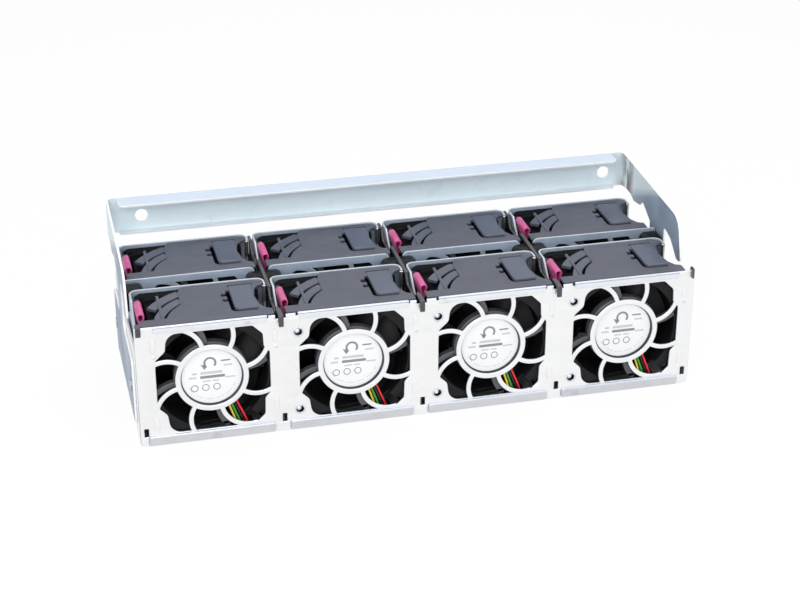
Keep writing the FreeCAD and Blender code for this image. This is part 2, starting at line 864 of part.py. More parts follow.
def row_spacers():
    """Oval blocks between the rows at every boundary, halved at the cage's ends."""
    gap = size("part_gap")
    front = size(WALL_BACK) + gap
    back = size("row_pitch") - gap
    high = size("spacer_top")
    low = high - size("spacer_height")
    reach = size("spacer_width") / 2
    round_corner = size("spacer_height") / 2 - 0.3
    solids = []
    limit = size(WALL_HALF)
    for middle in [-limit] + boundaries() + [limit]:
        left = max(middle - reach, -limit)
        right = min(middle + reach, limit)
        left_round = 0 if left == -limit else round_corner
        right_round = 0 if right == limit else round_corner
        solids.append(facing(face([
            (left, low, left_round),
            (right, low, right_round),
            (right, high, right_round),
            (left, high, left_round),
        ]), front, back))
    return Part.Compound(solids)


settle(feature("Spacers", row_spacers()), "row_spacers")


# ---- carrier bracket ----------------------------------------------------------------------------


def bracket_side():
    """Side plate seen from the right: a long arm with a nose, and a leg down to the cage's side."""
    top = size("rail_top")
    base = size("rail_base")
    back = size(WEB_BACK) + 2
    foot_back = size(CAGE_BACK) - 2
    window = size("arm_window")
    leg_back = size("leg_back")
    body_top = size("side_height")
    tip = size("nose_tip")
    low = size("nose_height")
    return face([
        (back, base),
        (back, top),
        (size("nose_start"), size("arm_front"), 10),
        (tip, low, 2.4),
        (tip + size("nose_width"), low, 2.4),
        (tip + size("nose_width") + 9.5, window - 2.6, 9),
        (size("leg_front"), window, 1.5),
        (size("leg_front"), body_top, 5),
        (size("side_front"), body_top, 3),
        (size("side_front"), size("side_base"), 3),
        (foot_back, size("side_base"), 3),
        (foot_back, body_top, 3),
        (leg_back - 2, body_top, 5),
        (leg_back, base - 2),
        (leg_back + 12, window + 0.8, 1.2),
        (leg_back + 16.5, base + 0.5),
        (leg_back + 26, base - 1),
        (leg_back + 31, base + 1),
    ])


def carrier_bracket():
    """Web and side plates bent from one sheet, with flanges along the web."""
    gauge = size("bracket_gauge")
    outer = size(SIDE_OUTER)
    back = size(WEB_BACK)
    front = size("side_front") - 5
    bend = size("bracket_bend")
    skin = face([(-outer, front), (outer, front), (outer, back, bend), (-outer, back, bend)])
    core = face([
        (-outer + gauge, front - 1),
        (outer - gauge, front - 1),
        (outer - gauge, back - gauge, bend - gauge),
        (-outer + gauge, back - gauge, bend - gauge),
    ])
    folded = raised(skin.cut(core), 0, size("rail_top"))
    folded = folded.common(sideways(bracket_side(), -outer - 1, outer + 1))
    inset = size("rail_flange_inset")
    corner = size("rail_flange_corner")
    web = size(WEB_FRONT) + gauge / 2
    flange = face([
        (inset - outer, web),
        (inset - outer, web - size("rail_flange"), corner),
        (outer - 1.5 * inset, web - size("rail_flange"), corner),
        (outer - 1.5 * inset, web),
    ])
    lip = face([
        (1.1 * inset - outer, web),
        (1.1 * inset - outer, web - size("rail_lip"), 1),
        (outer - 1.2 * inset, web - size("rail_lip"), 1),
        (outer - 1.2 * inset, web),
    ])
    top = size("rail_top")
    base = size("rail_base")
    web_box = raised(rectangle(bend - outer, outer - bend, web - 1, back + 1), 0, top + 1)
    rail = folded.common(web_box)
    sides = folded.cut(web_box).Solids
    strips = [raised(flange, top - gauge, top).cut(rail), raised(lip, base, base + gauge).cut(rail)]
    holes = []
    for place in (size("rail_hole_left") - outer, outer - size("rail_hole_right")):
        start = FreeCAD.Vector(place, size(WEB_FRONT) - 1, size("rail_hole_height"))
        hole = Part.makeCylinder(size("rail_hole_radius"), 2 + gauge, start, FreeCAD.Vector(0, 1, 0))
        holes.append(hole)
    return Part.Compound([rail.cut(holes)] + sides + strips)


bracket_blank = feature("Bracket_blank", carrier_bracket())
settle(cut("Bracket", bracket_blank, [rivet_holes]), "carrier_bracket")


# ---- fan module ---------------------------------------------------------------------------------
# A module's own frame has its Y axis on the fan's axis and starts at the front of its top cover.


def fan_housing():
    """Frame with square flanges on a round duct, swept struts and the motor's base."""
    body = doc.addObject("PartDesign::Body", "Fan_frame")
    half = FAN_HALF
    near = f"({half} - Sizes.fan_chamfer)"
    octagon = [
        (f"-{half}", f"-{near}"),
        (f"-{near}", f"-{half}"),
        (near, f"-{half}"),
        (half, f"-{near}"),
        (half, near),
        (near, half),
        (f"-{near}", half),
        (f"-{half}", near),
    ]
    start = "-Sizes.fan_inset"
    padded(body, sketched(body, "Frame_square", "XZ_Plane", octagon, start), "Sizes.fan_depth", reverse=True)
    round_bore = []
    for side in range(ROUND_SIDES):
        turn = 360 * (side + 0.5) / ROUND_SIDES
        round_bore.append((f"Sizes.duct_bore * cos({turn})", f"Sizes.duct_bore * sin({turn})"))
    bore = sketched(body, "Frame_bore", "XZ_Plane", round_bore, start)
    pocketed(body, bore, "Sizes.fan_depth")
    outside = facing(
        rectangle(-size(half) - 1, size(half) + 1, -size(half) - 1, size(half) + 1).cut(
            disc((0, 0), size(DUCT_OUTER))
        ),
        size("fan_inset") + size("flange_gauge"),
        size(FAN_BACK) - size("flange_gauge"),
    )
    waist = cut("Frame_waist", body, [feature("Waist_cutter", outside)])
    struts = []
    for strut in range(STRUTS):
        angle = size("strut_start") + strut * 360 / STRUTS
        flat = swept_strip(size("base_radius"), size("strut_width"), size("strut_bend"), angle, 2)
        flat = flat.common(disc((0, 0), size(DUCT_OUTER) - size("duct_wall") / 3))
        struts.append(facing(flat, size("fan_inset"), size("fan_inset") + size("strut_depth")))
    base = rod("Motor_base", ("0", "Sizes.fan_inset", "0"), "Sizes.base_radius", "Sizes.base_depth")
    lugs = []
    rear = "(Sizes.latch_front + (Sizes.latch_length + Sizes.leg_length) / 2 + Sizes.part_gap)"
    ahead = f"({rear} - Sizes.leg_length - 2 * Sizes.part_gap - Sizes.lug_gauge)"
    tall = "2 * (Sizes.pivot_radius + Sizes.part_gap)"
    for name, place in (("Lug_front", ahead), ("Lug_rear", rear)):
        corner = (
            "-Sizes.latch_offset - Sizes.lug_reach",
            place,
            f"Sizes.pivot_height - {tall} / 2",
        )
        reach = f"Sizes.latch_offset + Sizes.lug_reach - {DUCT_OUTER} + 1"
        lugs.append(box(name, corner, (reach, "Sizes.lug_gauge", tall)))
    whole = fused("Frame_whole", [waist, feature("Struts", Part.Compound(struts)), base] + lugs)
    bearing = rod(
        "Bearing_bore",
        ("0", f"{BASE_BACK} - Sizes.shaft_reach - Sizes.shaft_fit", "0"),
        f"(Sizes.shaft_radius + Sizes.shaft_fit) / cos({180 / SMALL_SIDES})",
        "Sizes.shaft_reach + 1",
        SMALL_SIDES,
    )
    pivot = rod(
        "Pivot_bore",
        ("-Sizes.latch_offset", f"{ahead} - 1", "Sizes.pivot_height"),
        f"(Sizes.pin_radius + Sizes.pin_fit) / cos({180 / SMALL_SIDES})",
        "Sizes.latch_length + 4",
        SMALL_SIDES,
    )
    channel = box(
        "Lead_channel",
        ("Sizes.plug_side", "Sizes.fan_inset - 1", f"-{half} - 1"),
        (
            "Sizes.plug_width",
            "Sizes.lead_depth + Sizes.lead_radius + Sizes.part_gap + 1 - Sizes.fan_inset",
            "9",
        ),
    )
    return cut("Housing", whole, [bearing, pivot, channel])


def fan_blades():
    """Seven blades: a cranked section across the air's way, run outwards from inside the cup."""
    chord = size("blade_chord") / 2
    gauge = size("blade_gauge")
    near = size("cup_radius") - 3
    tip = math.sqrt((size("duct_bore") - size("tip_gap")) ** 2 - chord**2)
    front = size(CUP_FRONT) + size("blade_inset")
    back = front + size("blade_depth")
    middle = (front + back) / 2
    crank = 0.2 * chord
    section = [
        (front, -chord),
        (front, gauge - chord),
        (middle, crank + gauge / 2),
        (back, chord),
        (back, chord - gauge),
        (middle, crank - gauge / 2),
    ]
    flat = Part.Face(Part.makePolygon([FreeCAD.Vector(near, y, z) for y, z in section + section[:1]]))
    blades = []
    for blade in range(BLADES):
        solid = flat.extrude(FreeCAD.Vector(tip - near, 0, 0))
        solid.rotate(FreeCAD.Vector(0, 0, 0), FreeCAD.Vector(0, -1, 0), blade * 360 / BLADES)
        blades.append(solid)
    return feature("Blades", Part.Compound(blades))


def impeller():
    """Motor cup with shaft and blades."""
    cup = rod("Cup", ("0", CUP_FRONT, "0"), "Sizes.cup_radius", "Sizes.cup_depth", 2 * BLADES)
    shaft = rod(
        "Shaft",
        ("0", f"{BASE_BACK} - Sizes.shaft_reach", "0"),
        "Sizes.shaft_radius",
        "Sizes.shaft_reach + Sizes.cup_gap + 1",
        0,
    )
    return fused("Impeller", [cup, shaft, fan_blades()])


def cover_cutouts():
    """Left recess with its arc grille, grip paddle with its groove, and the finger hole."""
    front = size("recess_front")
    back = size("recess_back")
    plateau = -size("plateau_left")
    outside = -size("cover_left") - 3
    centre = (size("arc_centre_side"), size("arc_centre_depth"))
    field = face([(outside, front), (plateau, front), (plateau, back), (outside, back)])
    grille = disc(centre, size("arc_outer")).common(
        rectangle(-size("grille_left"), plateau, front, back)
    )
    rib_left = -size("rib_left")
    rib = rectangle(rib_left, rib_left + size("rib_width"), front, back)
    slots = []
    for number in ("one", "two"):
        band = disc(centre, size(f"slot_{number}_outer")).cut([disc(centre, size(f"slot_{number}_inner"))])
        slots.append(band.common(grille).cut(rib))
    left = size("paddle_left")
    right = size("paddle_right")
    fore = size("paddle_front")
    rear = size("paddle_back")
    groove = size("groove_width")
    around = face([
        (left - groove, fore - groove, 4),
        (right + 0.2, fore - groove),
        (right + 0.2, fore),
        (left, fore, 2.6),
        (left, rear - 4),
        (left - groove, rear - 4),
    ])
    above = rectangle(left, right + 0.2, rear, rear + groove)
    marks = []
    for depth, thick in ((rear - 6.4, 2.0), (rear - 15.2, 2.6)):
        marks.append(rectangle(left - groove - 2.6, left - groove + 0.3, depth, depth + thick))
    grip = size("grip_right")
    hole = face([
        (right, fore - 0.8),
        (grip - 1.4, fore - 3.0),
        (grip, fore + 1.5),
        (grip, rear - 4.5),
        (right, rear - 0.6),
        (right - 1.2, rear - 7),
        (right - 1.6, (fore + rear) / 2),
        (right - 1.2, fore + 6.5),
    ])
    parts = [field.cut(grille)] + slots + [around.fuse([above, hole] + marks).removeSplitter()]
    low = size(COVER_BASE) - 1
    return Part.Compound([raised(part, low, size(COVER_TOP) + 1) for part in parts])


def top_cover():
    body = doc.addObject("PartDesign::Body", "Cover_plate")
    left = "-Sizes.cover_left"
    right = "Sizes.cover_right"
    depth = "Sizes.module_depth"
    chamfer = "Sizes.corner_chamfer"
    corners = [
        (left, "0"),
        (right, "0"),
        (right, f"{depth} - {chamfer}"),
        (f"{right} - {chamfer}", depth),
        (f"{left} + {chamfer}", depth),
        (left, f"{depth} - {chamfer}"),
    ]
    sketch = sketched(body, "Cover_outline", "XY_Plane", corners, COVER_BASE)
    padded(body, sketch, "Sizes.cover_gauge")
    return cut("Cover", body, [feature("Cover_cutouts", cover_cutouts())])


def release_latch():
    """Sprung hairpin: a drop-shaped loop on a flat leg with its pivot pin."""
    half = size("latch_width") / 2
    wall = size("latch_wall")
    drop = size("latch_drop")
    loop = face([
        (0, -drop),
        (half, 0),
        (half, half, half - 0.01),
        (-half, half, half - 0.01),
        (-half, 0),
    ])
    inner = half - wall
    eye = face([
        (0, 2.6 * wall - drop),
        (inner, 0),
        (inner, inner, inner - 0.01),
        (-inner, inner, inner - 0.01),
        (-inner, 0),
    ])
    front = size("latch_front")
    length = size("latch_length")
    side = -size("latch_offset")
    centre = size("latch_rise") - half
    handle = facing(loop.cut(eye), front, front + length)
    handle.translate(FreeCAD.Vector(side, 0, centre))
    leg = size("leg_length")
    near = front + (length - leg) / 2
    thick = size("leg_gauge") / 2
    pivot = size("pivot_height")
    flat = rectangle(side - thick, side + thick, pivot, centre - drop + 1.2)
    barrel = bar((side, near, pivot), size("pivot_radius"), leg)
    reach = size("lug_gauge") * 0.8 + size("part_gap")
    pin = bar((side, near - reach, pivot), size("pin_radius"), leg + reach)
    stub_start = FreeCAD.Vector(side, near + leg, pivot)
    stub = Part.makeCylinder(size("pin_radius"), reach, stub_start, FreeCAD.Vector(0, 1, 0))
    catch = face([
        (side - thick - 1.2, 12.0),
        (side - thick, 8.5),
        (side - thick + 0.2, 12.0),
    ])
    solids = [facing(flat, near, near + leg), barrel, pin, stub, facing(catch, near, near + leg)]
    return feature("Latch", handle.fuse(solids).removeSplitter())


def lead_path(points, chords):
    """Straight runs joined by tangent arcs, each as large as its two runs allow."""
    path = [points[0]]
    for before, here, after in zip(points, points[1:], points[2:]):
        inward = (before - here).normalize()
        onward = (after - here).normalize()
        half = inward.getAngle(onward) / 2
        reach = 0.45 * min(before.distanceToPoint(here), here.distanceToPoint(after))
        radius = reach * math.tan(half)
        print(f"lead bend radius {radius:.1f}")
        centre = here + (inward + onward).normalize() * (radius / math.sin(half))
        arm = here + inward * reach - centre
        spin = inward.cross(onward) * -1
        turn = 180 - math.degrees(2 * half)
        for step in range(chords + 1):
            path.append(centre + FreeCAD.Rotation(spin, turn * step / chords).multVec(arm))
    return path + [points[-1]]


def fan_leads():
    """Four leads from the motor's base down to the plug."""
    radius = size("lead_radius")
    pitch = size("lead_pitch")
    start_radius = size("base_radius") + 0.05
    depth = size("lead_depth")
    low = -size(FAN_HALF) + 0.02
    first = size("plug_side") + size("plug_width") / 2 - (LEADS - 1) / 2 * pitch
    across = FreeCAD.Vector(0, 1, 0)
    solids = []
    for lead in range(LEADS):
        angle = math.radians(-65 + 4.5 * lead)
        foot = first + lead * pitch
        path = lead_path([
            FreeCAD.Vector(start_radius * math.cos(angle), depth, start_radius * math.sin(angle)),
            FreeCAD.Vector(foot - 0.9, depth, low + 5.2),
            FreeCAD.Vector(foot, depth, low),
        ], 2)
        sections = []
        for index, place in enumerate(path):
            ahead = path[min(index + 1, len(path) - 1)] - path[max(index - 1, 0)]
            if index == len(path) - 1:
                ahead = FreeCAD.Vector(0, 0, -1)
            aside = ahead.normalize().cross(across) * radius
            rise = across * radius
            sections.append([place + aside, place + rise, place - aside, place - rise])
        solids.append(faceted(sections))
    return feature("Leads", Part.Compound(solids))


def module_plug():
    body = doc.addObject("PartDesign::Body", "Plug")
    left = "Sizes.plug_side"
    right = "(Sizes.plug_side + Sizes.plug_width)"
    fore = "Sizes.plug_front"
    rear = "(Sizes.plug_front + Sizes.plug_length)"
    corners = [
        (left, f"{fore} + 1"),
        (f"{left} + 1", fore),
        (right, fore),
        (right, rear),
        (left, rear),
    ]
    sketch = sketched(body, "Plug_outline", "XY_Plane", corners, f"-{FAN_HALF} - Sizes.plug_height")
    padded(body, sketch, "Sizes.plug_height")
    return body


MODULE_PARTS = {
    "housing": fan_housing(),
    "impeller": impeller(),
    "cover": top_cover(),
    "latch": release_latch(),
    "leads": fan_leads(),
    "plug": module_plug(),
}


def place_modules():
    """Stand one copy of every module piece on each fan's axis."""
    number = 0
    for row in range(ROWS):
        for column in range(COLUMNS):
            number += 1
            for kind, master in MODULE_PARTS.items():
                link = doc.addObject("App::Link", f"Module_{number}_{kind}")
                link.LinkedObject = master
                link.Label = f"module_{number}_{kind}"
                middle = f"{column - (COLUMNS - 1) / 2} * Sizes.column_pitch"
                link.setExpression("Placement.Base.x", middle)
                depth = f"{row} * Sizes.row_pitch + {MODULE_FRONT} - {MID_DEPTH}"
                link.setExpression("Placement.Base.y", depth)
                link.setExpression("Placement.Base.z", "Sizes.hub_height")
                NODES.append(link)


place_modules()


# ---- checks and export --------------------------------------------------------------------------


def checked_shape(node):
    shape = Part.getShape(node)
    if shape.isNull() or not shape.isValid() or not shape.Solids:
        raise RuntimeError(f"{node.Label} has no valid solid")
    return shape


def export():
    doc.recompute()
    for item in doc.Objects:
        if {"Invalid", "Error"} & set(item.State):
            raise RuntimeError(f"{item.Name} failed: {item.State}")
    os.makedirs("parts", exist_ok=True)
    shapes = {node.Label: checked_shape(node) for node in NODES}
    for label, shape in shapes.items():
        shape.exportStep(f"parts/{label}.step")
    print(f"{len(shapes)} sub-parts written")


export()
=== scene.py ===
import logging
import math
from collections.abc import Callable, Sequence
from dataclasses import dataclass, field
from enum import Enum
from functools import cache, wraps

import bmesh
import bpy
import numpy as np
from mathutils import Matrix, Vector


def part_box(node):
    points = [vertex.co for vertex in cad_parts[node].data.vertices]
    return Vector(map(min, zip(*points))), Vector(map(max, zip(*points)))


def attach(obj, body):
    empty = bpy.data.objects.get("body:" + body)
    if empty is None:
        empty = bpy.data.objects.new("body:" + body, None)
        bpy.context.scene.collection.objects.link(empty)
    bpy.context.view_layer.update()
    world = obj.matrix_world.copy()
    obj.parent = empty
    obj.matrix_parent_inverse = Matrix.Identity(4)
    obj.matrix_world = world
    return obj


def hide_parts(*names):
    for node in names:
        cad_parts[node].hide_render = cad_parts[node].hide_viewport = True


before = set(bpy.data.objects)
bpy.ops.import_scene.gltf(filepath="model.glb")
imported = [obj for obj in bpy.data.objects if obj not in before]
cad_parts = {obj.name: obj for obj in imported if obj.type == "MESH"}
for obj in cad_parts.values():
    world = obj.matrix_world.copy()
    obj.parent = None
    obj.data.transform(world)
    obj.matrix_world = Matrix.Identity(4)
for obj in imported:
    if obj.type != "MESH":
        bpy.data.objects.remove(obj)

logging.basicConfig(level=logging.INFO, format="%(name)s: %(message)s")
log = logging.getLogger("fan_cage")

Array = np.ndarray
Mesh = bpy.types.Mesh
Tree = bpy.types.NodeTree
Node = bpy.types.Node
Socket = bpy.types.NodeSocket
Filler = Callable[[Tree, Node, Node], None]
Triple = tuple[float, float, float]

MM = 0.001
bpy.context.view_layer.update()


# ---- datums -------------------------------------------------------------------------------------


class Wall(Enum):
    """The cage's four upright sheets from front to back, with their node names."""

    FRONT = "front_guard_panel"
    MID = "mid_guard_panel"
    INNER = "inner_back_wall"
    OUTER = "outer_back_wall"


class Turn(Enum):
    """Ways to stand a flat sheet up: which axes its own x, y and thickness become."""

    FACING = "xz"
    SIDEWAYS = "yz"
    LEVEL = "xy"


@dataclass(frozen=True)
class Datum:
    """Places that every sub-assembly hangs on, in millimetres.

    Attributes:
        panel_y: depth of the front panel's front face.
        modules: one (x, y, z) per module, on its fan's axis at the front of its top cover.
        hubs: the fans' x positions, one per column.
        hub_z: height of the fans' axes.
    """

    panel_y: float
    modules: tuple[Triple, ...]
    hubs: tuple[float, ...]
    hub_z: float

    @classmethod
    def read(cls) -> "Datum":
        """Take the places from the frame's boxes.

        Returns:
            The places, in millimetres.
        """
        places = []
        for number in range(1, 9):
            low, high = (np.array(c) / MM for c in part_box(f"module_{number}_housing"))
            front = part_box(f"module_{number}_cover")[0][1] / MM
            places.append((high[0] - 30.0, front, (low[2] + high[2]) / 2))
        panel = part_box(Wall.FRONT.value)[1][1] / MM - 1.0
        return cls(panel, tuple(places), tuple(place[0] for place in places[:4]), places[0][2])


# ---- shapes worked out with numpy ---------------------------------------------------------------


def linked(name: str, data: bpy.types.ID) -> bpy.types.Object:
    """New object, linked to the scene.

    Args:
        name: the object's name.
        data: its mesh, curve, lamp or camera.

    Returns:
        The object.
    """
    made = bpy.data.objects.new(name, data)
    bpy.context.scene.collection.objects.link(made)
    return made


def unit(vectors: Array) -> Array:
    """Vectors divided by their lengths."""
    return vectors / np.maximum(np.linalg.norm(vectors, axis=-1, keepdims=True), 1e-12)


def distinct(points: Array) -> Array:
    """Closed loop of points without neighbours that coincide."""
    return points[np.linalg.norm(points - np.roll(points, 1, 0), axis=1) > 1e-4]


def rounded(corners: Sequence[tuple[float, ...]], steps: int = 7) -> Array:
    """Closed outline whose corners are rounded.

    Each round is an arc about the corner's bisector point; the arc's points are the spherical mean of
    its two end radii, sin((1-t)a) v0 + sin(t a) v1 over sin a.

    Args:
        corners: (x, y, radius) of every corner; radius 0 or left out keeps it sharp.
        steps: points on each round.

    Returns:
        Points of the outline, (n, 2). A corner on a straight run drops out with the point after it.
    """
    data = np.array([tuple(c) + (0.0,) * (3 - len(c)) for c in corners], float)
    here, radius = data[:, :2], data[:, 2:]
    back = unit(np.roll(here, 1, 0) - here)
    ahead = unit(np.roll(here, -1, 0) - here)
    half = np.arccos(np.clip((back * ahead).sum(1, keepdims=True), -1, 1)) / 2
    reach = radius / np.tan(half)
    centre = here + unit(back + ahead) * radius / np.sin(half)
    turn = (np.pi - 2 * half)[:, None, :]
    first = (here + back * reach - centre)[:, None, :]
    last = (here + ahead * reach - centre)[:, None, :]
    share = np.linspace(0, 1, steps)[None, :, None]
    arc = np.sin((1 - share) * turn) * first + np.sin(share * turn) * last
    with np.errstate(invalid="ignore"):
        points = centre[:, None, :] + arc / np.sin(turn)
    return distinct(points.reshape(-1, 2))


def circle(radius: float, centre: tuple[float, float] = (0, 0), count: int = 72) -> Array:
    """Points of a circle, radius times the cosine and sine of equal turns."""
    turn = np.linspace(0, 2 * np.pi, count, endpoint=False)
    return np.stack([centre[0] + radius * np.cos(turn), centre[1] + radius * np.sin(turn)], 1)


def slot_outline(centre: tuple[float, float], width: float, height: float) -> Array:
    """Upright slot with half-round ends."""
    x, y, half, rise = centre[0], centre[1], width / 2, height / 2
    return box_outline(x - half, x + half, y - rise, y + rise, half * 0.99)


def box_outline(left: float, right: float, low: float, high: float, radius: float = 0.0) -> Array:
    """Rectangle, its corners rounded by one radius."""
    return rounded([(left, low, radius), (right, low, radius), (right, high, radius), (left, high, radius)])


def grid(points: Array, close_u: bool = False, close_v: bool = False, caps: bool = False) -> Mesh:
    """Quads over a grid of points.

    Args:
        points: (u, v, 3) positions, a function of two parameters sampled on a grid.
        close_u: join the last row to the first.
        close_v: join the last column to the first.
        caps: fill the first and last row when the columns are closed.

    Returns:
        The mesh in millimetres.
    """
    rows, columns = points.shape[:2]
    u = np.arange(rows if close_u else rows - 1)[:, None]
    v = np.arange(columns if close_v else columns - 1)[None, :]
    u_next, v_next = (u + 1) % rows, (v + 1) % columns
    faces = np.stack(np.broadcast_arrays(
        u * columns + v, u_next * columns + v, u_next * columns + v_next, u * columns + v_next
    ), -1).reshape(-1, 4).tolist()
    if caps:
        ring = np.arange(columns)
        faces += [ring.tolist(), (ring[::-1] + (rows - 1) * columns).tolist()]
    mesh = bpy.data.meshes.new("grid")
    mesh.from_pydata(points.reshape(-1, 3).tolist(), [], faces)
    return mesh


def lathe(profile: Array, steps: int = 72) -> Mesh:
    """Closed profile of (radius, y) carried round the Y axis: x = r cos a, z = r sin a.

    Args:
        profile: (n, 2) radius and y, in order round the section.
        steps: equal turns round the axis.

    Returns:
        The closed surface.
    """
    turn = np.linspace(0, 2 * np.pi, steps, endpoint=False)[:, None]
    radius, depth = profile[None, :, 0], profile[None, :, 1]
    points = np.stack([radius * np.cos(turn), np.broadcast_to(depth, (steps, len(profile))),
                       radius * np.sin(turn)], -1)
    return grid(points, close_u=True, close_v=True)


def sweep(path: Array, section: Array, up: Triple) -> Mesh:
    """Section of (across, up) points carried along a path; across is the path's direction times up.

    Args:
        path: (n, 3) points in order.
        section: (m, 2) closed outline, across and up.
        up: direction that the section's second axis keeps to.

    Returns:
        The tube, capped at both ends.
    """
    along = unit(np.gradient(path, axis=0))
    lift = np.broadcast_to(np.array(up, float), along.shape)
    across = unit(np.cross(along, lift))
    lift = np.cross(across, along)
    points = (path[:, None, :] + section[None, :, 0:1] * across[:, None, :]
              + section[None, :, 1:2] * lift[:, None, :])
    return grid(points, close_v=True, caps=True)


def moved(mesh: Mesh, change: Callable[[Array], Array]) -> Mesh:
    """Put every vertex of a mesh through a function of the whole point array.

    Args:
        mesh: the mesh to change.
        change: takes and returns (n, 3) points.

    Returns:
        The same mesh.
    """
    flat = np.empty(len(mesh.vertices) * 3)
    mesh.vertices.foreach_get("co", flat)
    mesh.vertices.foreach_set("co", np.ascontiguousarray(change(flat.reshape(-1, 3)), float).ravel())
    mesh.update()
    return mesh


def shifted(mesh: Mesh, offset: Sequence[float]) -> Mesh:
    """Copy of a mesh, moved by an offset."""
    return moved(mesh.copy(), lambda points: points + np.array(offset, float))


def sheet(loops: Sequence[Array], thickness: float, edge: float = 0.15, steps: int = 0) -> Mesh:
    """Flat sheet through closed loops, the first outside and the rest holes, with broken edges.

    A filled flat curve gives the faces; it is made a mesh at once.

    Args:
        loops: (n, 2) outlines in millimetres.
        thickness: sheet gauge, centred on its plane.
        edge: width of the broken edge.
        steps: extra rows across the broken edge.

    Returns:
        The mesh, lying in the XY plane; its flat faces keep material index 0 and its edges have 1.
    """
    curve = bpy.data.curves.new("outline", "CURVE")
    curve.dimensions = "2D"
    curve.fill_mode = "BOTH"
    curve.bevel_depth = edge
    curve.bevel_resolution = steps
    curve.offset = -edge
    curve.extrude = thickness / 2 - edge
    for loop in loops:
        spline = curve.splines.new("POLY")
        spline.points.add(len(loop) - 1)
        padded = np.zeros((len(loop), 4))
        padded[:, :2] = loop
        padded[:, 3] = 1
        spline.points.foreach_set("co", padded.ravel())
        spline.use_cyclic_u = True
    holder = linked("outline", curve)
    graph = bpy.context.evaluated_depsgraph_get()
    mesh = bpy.data.meshes.new_from_object(holder.evaluated_get(graph))
    bpy.data.objects.remove(holder)
    bpy.data.curves.remove(curve)
    normals = np.empty(len(mesh.polygons) * 3)
    mesh.polygons.foreach_get("normal", normals)
    on_edge = np.abs(normals[2::3]) < 0.95
    mesh.polygons.foreach_set("material_index", on_edge.astype(np.int32))
    return mesh


def stood(mesh: Mesh, turn: Turn, at: float) -> Mesh:
    """Turn a flat sheet into its plane and centre its thickness on a coordinate.

    Args:
        mesh: a flat sheet in the XY plane.
        turn: the plane that it goes to.
        at: coordinate of its middle along the plane's normal.

    Returns:
        The same mesh.
    """
    order = {Turn.FACING: (0, 2, 1), Turn.SIDEWAYS: (2, 0, 1), Turn.LEVEL: (0, 1, 2)}[turn]
    normal = {Turn.FACING: (0, 1, 0), Turn.SIDEWAYS: (1, 0, 0), Turn.LEVEL: (0, 0, 1)}[turn]
    return moved(mesh, lambda points: points[:, order] + at * np.array(normal))


def slab(loops: Sequence[Array], thickness: float, turn: Turn, at: float, edge: float = 0.15,
         steps: int = 0) -> Mesh:
    """Sheet through closed loops, stood in its plane with its middle on a coordinate."""
    return stood(sheet(loops, thickness, edge, steps), turn, at)


def folded(mesh: Mesh, path: Array, creases: Array) -> Mesh:
    """Fold a flat pattern along a path, as sheet metal is bent.

    The pattern's x runs along the path, its y becomes height and its thickness stays square to the
    path. Rows of new edges are cut where the path curves, then all points are mapped at once.

    Args:
        mesh: flat pattern in the XY plane.
        path: (n, 3) rows of run length, x and y of the folded line seen from above.
        creases: run lengths at which the pattern is cut before it is bent.

    Returns:
        The same mesh, folded.
    """
    work = bmesh.new()
    work.from_mesh(mesh)
    for run in creases:
        bmesh.ops.bisect_plane(work, geom=work.verts[:] + work.edges[:] + work.faces[:],
                               plane_co=(run, 0, 0), plane_no=(1, 0, 0), dist=1e-5)
    work.to_mesh(mesh)
    work.free()
    run, line = path[:, 0], path[:, 1:]
    side = unit(np.gradient(line, run, axis=0))[:, ::-1] * np.array([-1.0, 1.0])

    def bend(points: Array) -> Array:
        """Places on the folded line, each moved out by its height above the pattern."""
        at = [np.interp(points[:, 0], run, line[:, axis]) for axis in (0, 1)]
        out = [np.interp(points[:, 0], run, side[:, axis]) for axis in (0, 1)]
        return np.stack([at[0] + points[:, 2] * out[0], at[1] + points[:, 2] * out[1], points[:, 1]], 1)

    return moved(mesh, bend)


def bent_path(corners: Sequence[Triple], steps: int = 9) -> tuple[Array, Array]:
    """Run of straight lines and tangent arcs through corners, measured along its length.

    Args:
        corners: (x, y, bend radius) in order; the first and last keep no radius.
        steps: points on each bend.

    Returns:
        The path as (run, x, y) rows, and the run lengths of the creases.
    """
    data = np.array(corners, float)
    here, radius = data[1:-1, :2], data[1:-1, 2:]
    back, ahead = unit(data[:-2, :2] - here), unit(data[2:, :2] - here)
    half = np.arccos(np.clip((back * ahead).sum(1, keepdims=True), -1, 1)) / 2
    centre = here + unit(back + ahead) * radius / np.sin(half)
    reach = radius / np.tan(half)
    turn = (np.pi - 2 * half)[:, None, :]
    share = np.linspace(0, 1, steps)[None, :, None]
    arc = (np.sin((1 - share) * turn) * (here + back * reach - centre)[:, None, :]
           + np.sin(share * turn) * (here + ahead * reach - centre)[:, None, :]) / np.sin(turn)
    bends = centre[:, None, :] + arc
    line = np.concatenate([data[:1, :2], bends.reshape(-1, 2), data[-1:, :2]])
    run = np.concatenate([[0], np.cumsum(np.linalg.norm(np.diff(line, axis=0), axis=1))])
    return np.column_stack([run, line]), run[1:-1]


# ---- finishes -----------------------------------------------------------------------------------


def math_node(tree: Tree, kind: str, *values: object,
              clamp: bool = False) -> Socket:
    """Math node whose inputs are sockets or numbers.

    Args:
        tree: where the node goes.
        kind: the operation.
        *values: what it works on, in order.
        clamp: keep the result from 0 to 1.

    Returns:
        The node's output.
    """
    node = tree.nodes.new("ShaderNodeMath")
    node.operation = kind
    node.use_clamp = clamp
    for index, value in enumerate(values):
        if isinstance(value, Socket):
            tree.links.new(value, node.inputs[index])
        else:
            node.inputs[index].default_value = float(value)
    return node.outputs[0]


